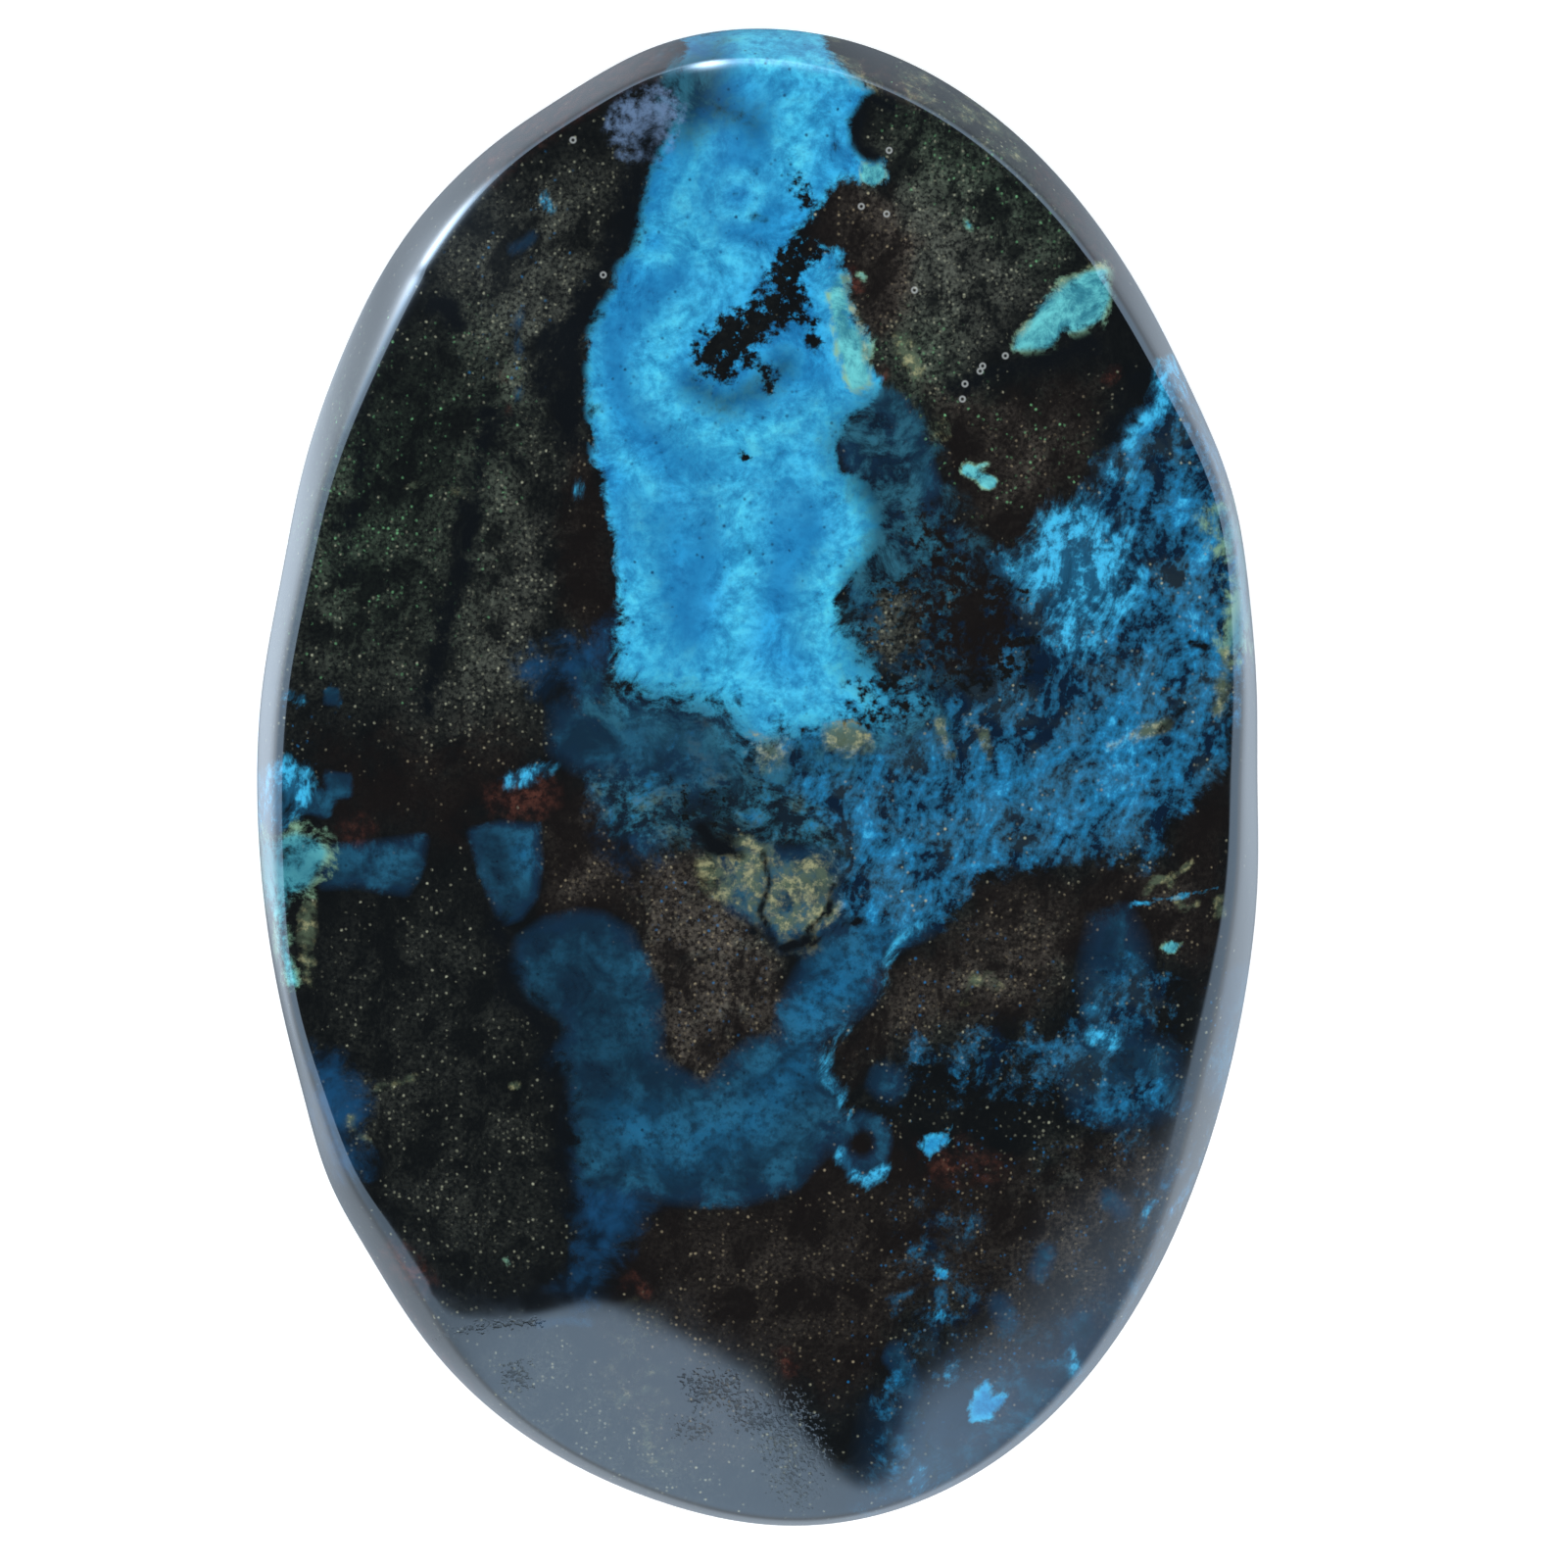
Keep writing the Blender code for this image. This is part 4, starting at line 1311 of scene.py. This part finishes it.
def rock(tree, paint, noise, away, first, second):
    """Near-black matrix, brown in places, hazed with fine dust and strewn with tiny grains."""
    layer = {"data_type": "RGBA"}
    in_brown = cover(tree, "brown", noise["chip"], 1.6, 0.35)
    ground = put(tree, MIX, in_brown, paint("matrix"), paint("umber"), **layer)
    crowd = put(tree, ATTRIBUTE, out="Fac", attribute_name="grain")
    moss = put(tree, ATTRIBUTE, out="Fac", attribute_name="moss")
    dust = put(tree, ATTRIBUTE, out="Fac", attribute_name="dust")

    # The haze lies in slanting drifts of dust
    greenish = put(tree, MATH, moss, 0.6, operation="MULTIPLY")
    dull = put(tree, MIX, greenish, paint("haze"), paint("haze_green"), **layer)
    dull = put(tree, MIX, in_brown, dull, paint("haze_brown"), **layer)
    drift = put(tree, MATH, noise["strand"], noise["cloud"], operation="ADD")
    drift = put(tree, RANGE, drift, 0.86, 1.12, 0.1, 1.1)
    sandy = put(tree, RANGE, noise["dust"], 0.37, 0.65, 0.12, 1.15)
    thick = put(tree, MATH, crowd, crowd, 0.04, operation="MULTIPLY_ADD")
    for share in (0.75, drift, sandy):
        thick = put(tree, MATH, thick, share, operation="MULTIPLY")
    ground = put(tree, MIX, thick, ground, dull, **layer)

    # The grains
    green_most = put(tree, MATH, moss, 0.8, operation="MULTIPLY")
    blue_least = put(tree, MATH, dust, -0.8, 1.0, operation="MULTIPLY_ADD")
    is_green = put(tree, MATH, second, green_most, operation="LESS_THAN")
    is_blue = put(tree, MATH, second, blue_least, operation="GREATER_THAN")
    tone = put(tree, MIX, in_brown, paint("khaki"), paint("tan"), **layer)
    tone = put(tree, MIX, is_green, tone, paint("moss"), **layer)
    tone = put(tree, MIX, is_blue, tone, paint("sky_deep"), **layer)
    crowd = put(tree, MATH, crowd, dust, operation="MAXIMUM")
    share = put(tree, MATH, crowd, 0.95, 0.045, operation="MULTIPLY_ADD")
    share = put(tree, MATH, share, drift, operation="MULTIPLY")
    bright = specks(tree, away, first, 0.42, share)
    for part in (sandy, 0.85):
        bright = put(tree, MATH, bright, part, operation="MULTIPLY")
    return put(tree, MIX, bright, ground, tone, **layer)


def streaked_teal(tree, paint, noise):
    """Dark chrysocolla in level streaks, olive in places."""
    layer = {"data_type": "RGBA"}
    tone = put(tree, MATH, noise["streak"], noise["crumb"], operation="ADD")
    teal = between(tree, tone, 0.90, 1.14, paint("teal"), paint("teal_pale"))
    lights = put(tree, RANGE, tone, 1.08, 1.26, 0.0, 0.8)
    teal = put(tree, MIX, lights, teal, paint("clump"), **layer)
    olive = put(tree, RANGE, noise["streak"], 0.50, 0.68, 0.0, 0.8)
    warm = put(tree, RANGE, noise["cloud"], 0.44, 0.58, 0.0, 1.0)
    olive = put(tree, MATH, olive, warm, operation="MULTIPLY")
    return put(tree, MIX, olive, teal, paint("ochre"), **layer)


def soft_azure(tree, paint, noise, pale, dark):
    """Azurite ground fine in chrysocolla: an even dark blue with fine flecks."""
    layer = {"data_type": "RGBA"}
    azure = between(tree, noise["cloud"], 0.38, 0.64, paint("azure"), paint("azure_pale"))
    azure = put(tree, MIX, dark, azure, paint("navy"), **layer)
    lifted = put(tree, MATH, pale, 0.7, operation="MULTIPLY")
    azure = put(tree, MIX, lifted, azure, paint("clump"), **layer)
    flecks = put(tree, RANGE, noise["crumb"], 0.45, 0.68, 0.0, 0.85)
    return put(tree, MIX, flecks, azure, paint("azure"), **layer)


def mottled_blue(tree, paint, tone):
    """Chrysocolla in clumps and slanting strands over dark azurite."""
    layer = {"data_type": "RGBA"}
    blue = between(tree, tone, 0.43, 0.52, paint("mottle"), paint("mottle_pale"))
    lights = put(tree, RANGE, tone, 0.51, 0.60, 0.0, 1.0)
    blue = put(tree, MIX, lights, blue, paint("clump"), **layer)
    brightest = put(tree, RANGE, tone, 0.59, 0.69, 0.0, 1.0)
    return put(tree, MIX, brightest, blue, paint("clump_pale"), **layer)


def sky_band(tree, paint, noise, pale, dark):
    """Bright chrysocolla: soft sky blue with deeper clouds, pale rings and a fine mottle."""
    layer = {"data_type": "RGBA"}
    core = between(tree, noise["chip"], 0.36, 0.60, paint("sky_deep"), paint("sky"))
    core = put(tree, MIX, dark, core, paint("sky_deep"), **layer)
    ringed = between(tree, noise["chip"], 0.42, 0.68, paint("sky_pale"), paint("sky_palest"))
    core = put(tree, MIX, pale, core, ringed, **layer)
    field = put(tree, ATTRIBUTE, out="Fac", attribute_name="sky")
    rim = put(tree, RANGE, field, 0.95, 0.5, 0.0, 0.4)
    core = put(tree, MIX, rim, core, paint("sky_pale"), **layer)
    mottle = put(tree, RANGE, noise["crumb"], 0.42, 0.68, 0.0, 0.6)
    return put(tree, MIX, mottle, core, paint("sky_deep"), **layer)


def green_blue(tree, paint, noise, dark):
    """Turquoise-coloured chrysocolla with a thin yellow-green rim."""
    layer = {"data_type": "RGBA"}
    green = between(tree, noise["chip"], 0.38, 0.64, paint("turquoise"), paint("turquoise_pale"))
    green = put(tree, MIX, dark, green, paint("teal_pale"), **layer)
    field = put(tree, ATTRIBUTE, out="Fac", attribute_name="turquoise")
    rim = put(tree, RANGE, field, 0.62, 0.40, 0.0, 0.75)
    return put(tree, MIX, rim, green, paint("leaf"), **layer)


def painted_bubble_highlights(tree, mm):
    """Painted highlights: bright rings round the tiny bubbles, put into the colour where their pits catch
    the light.
    """
    level = put(tree, VECTOR, mm, (1.0, 1.0, 0.0), operation="MULTIPLY")
    nearest_one = 10.0
    for spot in BUBBLES:
        away = put(tree, VECTOR, level, (*on_stone(spot), 0.0), operation="DISTANCE")
        nearest_one = put(tree, MATH, away, nearest_one, operation="MINIMUM")
    off_ring = put(tree, MATH, nearest_one, BUBBLE_RADIUS, operation="SUBTRACT")
    off_ring = put(tree, MATH, off_ring, operation="ABSOLUTE")
    # Painted highlight, brightest on the ring round each bubble
    ring = put(tree, RANGE, off_ring, BUBBLE_HIGHLIGHT_WIDTH, 0.0, 0.0, 0.35)
    height = put(tree, "ShaderNodeSeparateXYZ", mm, out="Z")
    on_face = put(tree, MATH, height, GIRDLE_HEIGHT / MM, operation="GREATER_THAN")
    return put(tree, MATH, ring, on_face, operation="MULTIPLY")


def stone_colour(tree, paint, mm):
    """The stone's colours, laid from the rock up to the brightest blue and the stains over it, and painted
    highlights.
    """
    layer = {"data_type": "RGBA"}
    noise = shared_noises(tree, mm)
    chip, crumb, cloud, strand = (noise[name] for name in ("chip", "crumb", "cloud", "strand"))
    away, (first, second, third) = grit(tree, mm)
    uneven = put(tree, RANGE, chip, 0.36, 0.60, 0.35, 1.1)
    pale = put(tree, ATTRIBUTE, out="Fac", attribute_name="halo")
    pale = put(tree, MATH, pale, uneven, operation="MULTIPLY")
    dark = put(tree, ATTRIBUTE, out="Fac", attribute_name="deep")
    dark = put(tree, MATH, dark, uneven, operation="MULTIPLY")

    # Rock with iron stains, and the darkest blues
    bare = rock(tree, paint, noise, away, first, second)
    stain = between(tree, crumb, 0.4, 0.68, paint("rust"), paint("rust_pale"))
    bare = put(tree, MIX, cover(tree, "rust", chip, 1.6, 0.6), bare, stain, **layer)
    navy = between(tree, cloud, 0.36, 0.62, paint("navy"), paint("navy_pale"))
    teal = streaked_teal(tree, paint, noise)

    # Azurite has a navy fringe and is peppered with pores
    azure = soft_azure(tree, paint, noise, pale, dark)
    field = put(tree, ATTRIBUTE, out="Fac", attribute_name="azure")
    fringe = put(tree, RANGE, field, 0.08, 0.5, 0.0, 0.35)
    in_azure = put(tree, RANGE, field, 0.5, 0.9, 0.0, 0.8)
    pores = specks(tree, away, third, 0.50, 0.12)
    pores = put(tree, MATH, pores, in_azure, operation="MULTIPLY")

    # Clumps are brighter where the blue is marked pale and fewer where it is marked deep
    tone = put(tree, MATH, strand, 0.6, operation="MULTIPLY")
    tone = put(tree, MATH, crumb, 0.4, tone, operation="MULTIPLY_ADD")
    tone = put(tree, MATH, pale, 0.07, tone, operation="MULTIPLY_ADD")
    tone = put(tree, MATH, dark, -0.09, tone, operation="MULTIPLY_ADD")
    mottle = mottled_blue(tree, paint, tone)
    in_mottle = cover(tree, "mottle", chip, 2.6, 0.3)
    plume = between(tree, tone, 0.46, 0.60, paint("mottle_pale"), paint("clump_pale"))
    palest = put(tree, RANGE, tone, 0.58, 0.70, 0.0, 0.8)
    plume = put(tree, MIX, palest, plume, paint("sky_pale"), **layer)

    # Olive shade and khaki bits in the warmer mottles
    warm = put(tree, RANGE, cloud, 0.46, 0.58, 0.0, 1.0)
    olive = put(tree, MATH, warm, 0.10, operation="MULTIPLY")
    olive = put(tree, MATH, olive, in_mottle, operation="MULTIPLY")
    bits = specks(tree, away, second, 0.42, 0.14)
    bits = put(tree, MATH, bits, warm, operation="MULTIPLY")
    bits = put(tree, MATH, bits, in_mottle, operation="MULTIPLY")

    # The bright band with its dark pricks, and the green-blues
    sky = sky_band(tree, paint, noise, pale, dark)
    in_sky = cover(tree, "sky", chip, 2.4, 0.26)
    pricks = specks(tree, away, third, 0.50, 0.08)
    pricks = put(tree, MATH, pricks, in_sky, operation="MULTIPLY")
    green = green_blue(tree, paint, noise, dark)
    veil = between(tree, chip, 0.40, 0.64, paint("navy"), paint("teal_pale"))

    # Stains over all of them
    gold = between(tree, crumb, 0.46, 0.66, paint("ochre"), paint("ochre_pale"))
    in_gold = cover(tree, "ochre", chip, 3.2, 0.45)
    in_gold = put(tree, MATH, in_gold, 0.85, operation="MULTIPLY")
    haze = cover(tree, "bloom", crumb, 3.2, 0.6)
    haze = put(tree, MATH, haze, 0.38, operation="MULTIPLY")

    colour = bare
    for share, over in (
        (cover(tree, "navy", chip, 2.2, 0.45), navy),
        (cover(tree, "teal", chip, 2.2, 0.4), teal),
        (fringe, paint("navy_pale")),
        (cover(tree, "azure", chip, 3.0, 0.35), azure),
        (pores, paint("navy")),
        (in_mottle, mottle),
        (olive, paint("ochre")),
        (bits, paint("khaki")),
        (cover(tree, "feather", strand, 3.0, 0.5), plume),
        (in_sky, sky),
        (pricks, paint("navy_pale")),
        (cover(tree, "turquoise", chip, 2.4, 0.25), green),
        (cover(tree, "veil", chip, 1.8, 0.5), veil),
        (cover(tree, "gap", crumb, 3.0, 0.3), bare),
        (in_gold, gold),
        (haze, paint("bloom")),
        (cover(tree, "dark", chip, 1.9, 0.3), paint("shadow")),
        # Painted highlights on the tiny bubbles
        (painted_bubble_highlights(tree, mm), paint("painted_glint")),
    ):
        colour = put(tree, MIX, share, colour, over, **layer)
    return colour, noise["dust"], cloud


def polished_stone(colours):
    """Azurite and chrysocolla in matrix, ground and polished on wheels: glassy, with dull pits.

    The stone is opaque, so its colours are all at the surface and the gloss is that of quartz.
    """

    def paint(name):
        return (*getattr(colours, name), 1.0)

    finish = bpy.data.materials.new("polished_azurite_chrysocolla")
    finish.use_nodes = True
    tree = finish.node_tree
    tree.nodes.clear()
    place = put(tree, "ShaderNodeTexCoord", out="Object")
    mm = put(tree, VECTOR, place, 1.0 / MM, operation="SCALE")
    colour, dust, cloud = stone_colour(tree, paint, mm)
    dull = cover(tree, "pits", dust, 2.2, 0.28)
    worn = put(tree, RANGE, cloud, 0.35, 0.65, *GLOSS)
    gloss = put(tree, MIX, dull, worn, PIT_ROUGHNESS)
    raised = put(tree, MATH, 1.0, dull, operation="SUBTRACT")
    relief = put(tree, "ShaderNodeBump", PIT_STRENGTH, PIT_DEPTH, None, raised)

    shader = tree.nodes.new("ShaderNodeBsdfPrincipled")
    shader.inputs["IOR"].default_value = STONE_IOR
    tree.links.new(colour, shader.inputs["Base Color"])
    tree.links.new(gloss, shader.inputs["Roughness"])
    tree.links.new(relief, shader.inputs["Normal"])
    tree.links.new(shader.outputs["BSDF"], tree.nodes.new("ShaderNodeOutputMaterial").inputs["Surface"])
    return finish


class CutCabochon(bpy.types.Operator):
    """Cut the oval stone, mark it with its minerals and polish it"""

    bl_idname = "cabochon.cut"
    bl_label = "Cut the Cabochon"

    def execute(self, context):
        sizes = context.scene.cabochon_sizes
        settings = {
            "Width": sizes.width,
            "Length": sizes.length,
            "Thickness": sizes.thickness,
            "Girdle Height": sizes.girdle_height,
            "Crest Height": sizes.crest_height,
            "Bevel Run": sizes.bevel_run,
            "Corner Height": sizes.corner_height,
            "Corner Reach": sizes.corner_reach,
            "Wall Lean": sizes.wall_lean,
            "Unevenness": sizes.unevenness,
            "Bevel Curve": sizes.bevel_curve,
            "Shoulder": sizes.shoulder,
            "Seed": DIP_SEED,
            "Cells Across": CELLS_ACROSS,
            "Cells Along": CELLS_ALONG,
            "Finish": polished_stone(context.scene.cabochon_colours),
        }
        stone = grow_mesh("polished_cabochon", cabochon_tree(), settings)
        faces_before = close_back(stone.data)
        place_markings(stone.data)
        lay_out_uv(stone.data, faces_before)
        stone.data.shade_smooth()
        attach(stone, "root")
        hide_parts("cabochon")
        return {"FINISHED"}


def set_floor(stage):
    """Plain pale floor under the stone, left out of its gloss."""
    half = stage.floor_side / 2
    mesh = bpy.data.meshes.new("floor")
    corners = [(x * half, y * half, -FLOOR_GAP) for x, y in ((-1, -1), (1, -1), (1, 1), (-1, 1))]
    mesh.from_pydata(corners, [], [(0, 1, 2, 3)])
    floor = bpy.data.objects.new("floor", mesh)
    bpy.context.scene.collection.objects.link(floor)
    finish = bpy.data.materials.new("matt_paper")
    finish.use_nodes = True
    shader = finish.node_tree.nodes["Principled BSDF"]
    shader.inputs["Base Color"].default_value = (*stage.floor, 1.0)
    shader.inputs["Roughness"].default_value = FLOOR_ROUGHNESS
    shader.inputs["Emission Color"].default_value = (*stage.floor, 1.0)
    shader.inputs["Emission Strength"].default_value = FLOOR_GLOW
    mesh.materials.append(finish)
    floor.visible_glossy = False


def set_world():
    """A pale room with a dark ceiling right over the stone, which the flat of the dome mirrors."""
    world = bpy.data.worlds.new("pale_room")
    bpy.context.scene.world = world
    world.use_nodes = True
    tree = world.node_tree
    tree.nodes.clear()
    way = put(tree, "ShaderNodeTexCoord", out="Generated")
    up = put(tree, "ShaderNodeSeparateXYZ", way, out="Z")
    across = put(tree, "ShaderNodeSeparateXYZ", way, out="X")
    along = put(tree, "ShaderNodeSeparateXYZ", way, out="Y")
    lean = put(tree, MATH, up, operation="ARCCOSINE")
    lean = put(tree, MATH, lean, operation="DEGREES")
    turned = put(tree, MATH, along, across, operation="ARCTAN2")
    degrees = put(tree, MATH, turned, operation="DEGREES")

    limit = put(tree, MATH, swell(tree, degrees, CEILING_CHANGES), CEILING_REACH, operation="ADD")
    past = put(tree, MATH, lean, limit, operation="SUBTRACT")
    soft = put(tree, MATH, swell(tree, degrees, CEILING_SOFTNESS), CEILING_EDGE, operation="ADD")
    share = put(tree, MATH, past, soft, operation="DIVIDE")
    wall = put(tree, MATH, swell(tree, degrees, WALL_CHANGES), WALL_LIGHT, operation="ADD")
    above = put(tree, RANGE, share, -1.0, 1.0, CEILING_LIGHT, wall, interpolation_type="SMOOTHSTEP")

    low = put(tree, MATH, swell(tree, degrees, TABLE_CHANGES), TABLE_LIGHT, operation="ADD")
    fading = put(tree, RANGE, lean, *TABLE_FADES, 1.0, TABLE_FADE)
    low = put(tree, MATH, low, fading, operation="MULTIPLY")
    lowness = put(tree, RANGE, lean, *WALL_FOOT, 0.0, 1.0, interpolation_type="SMOOTHSTEP")
    bright = put(tree, MIX, lowness, above, low)
    for around, height in STRIPS:
        beside = swell(tree, degrees, around)
        strip = put(tree, MATH, beside, swell(tree, lean, height), operation="MULTIPLY")
        bright = put(tree, MATH, bright, strip, operation="ADD")

    tint = put(tree, MIX, lowness, ROOM_TINT, TABLE_TINT, data_type="RGBA")
    mirrored = put(tree, "ShaderNodeBackground", tint, bright)
    plain = put(tree, "ShaderNodeBackground", PLAIN_TINT, FILL_LIGHT)
    is_glossy = put(tree, "ShaderNodeLightPath", out="Is Glossy Ray")
    mixed = put(tree, "ShaderNodeMixShader", is_glossy, plain, mirrored)
    tree.links.new(mixed, tree.nodes.new("ShaderNodeOutputWorld").inputs["Surface"])


def add_softbox():
    """Square lamp straight over the stone, for its colours and not its gloss."""
    lamp = bpy.data.lights.new("key", "AREA")
    lamp.size = LAMP_SIDE
    lamp.energy = LAMP_POWER
    softbox = bpy.data.objects.new("key", lamp)
    softbox.location.z = LAMP_HEIGHT
    softbox.visible_glossy = False
    softbox.visible_camera = False
    bpy.context.scene.collection.objects.link(softbox)


def add_camera(stage):
    """Long lens almost straight above, as the photograph was taken."""
    data = bpy.data.cameras.new("camera")
    data.lens = stage.lens
    data.sensor_width = SENSOR
    data.clip_end = SIGHT
    camera = bpy.data.objects.new("camera", data)
    reach = stage.view_height * stage.lens / SENSOR
    camera.location = (
        stage.aim_across,
        AIM_ALONG + reach * math.sin(stage.tilt),
        AIM_HEIGHT + reach * math.cos(stage.tilt),
    )
    camera.rotation_euler = (-stage.tilt, 0.0, 0.0)
    bpy.context.scene.collection.objects.link(camera)
    bpy.context.scene.camera = camera


class SetStage(bpy.types.Operator):
    """Set the floor, the soft studio light and the camera round the stone"""

    bl_idname = "cabochon.stage"
    bl_label = "Set the Stage"

    def execute(self, context):
        stage = context.scene.cabochon_stage
        context.scene.view_settings.view_transform = "Standard"
        set_floor(stage)
        set_world()
        add_softbox()
        add_camera(stage)
        return {"FINISHED"}


class CabochonPanel(bpy.types.Panel):
    """Makes the cabochon and its stage"""

    bl_idname = "VIEW3D_PT_cabochon"
    bl_label = "Cabochon"
    bl_space_type = "VIEW_3D"
    bl_region_type = "UI"
    bl_category = "Cabochon"

    def draw(self, context):
        for operator in (CutCabochon, SetStage):
            self.layout.operator(operator.bl_idname)
        scene = context.scene
        for group in (scene.cabochon_sizes, scene.cabochon_colours, scene.cabochon_stage):
            box = self.layout.box()
            for name in group.__annotations__:
                box.prop(group, name)


CLASSES = (CabochonSizes, CabochonColours, CabochonStage, CutCabochon, SetStage, CabochonPanel)


def register():
    for one in CLASSES:
        bpy.utils.register_class(one)
    bpy.types.Scene.cabochon_sizes = bpy.props.PointerProperty(type=CabochonSizes)
    bpy.types.Scene.cabochon_colours = bpy.props.PointerProperty(type=CabochonColours)
    bpy.types.Scene.cabochon_stage = bpy.props.PointerProperty(type=CabochonStage)


def unregister():
    del bpy.types.Scene.cabochon_stage
    del bpy.types.Scene.cabochon_colours
    del bpy.types.Scene.cabochon_sizes
    for one in reversed(CLASSES):
        bpy.utils.unregister_class(one)


def main():
    register()
    bpy.ops.cabochon.cut()
    bpy.ops.cabochon.stage()


if __name__ == "__main__":
    main()
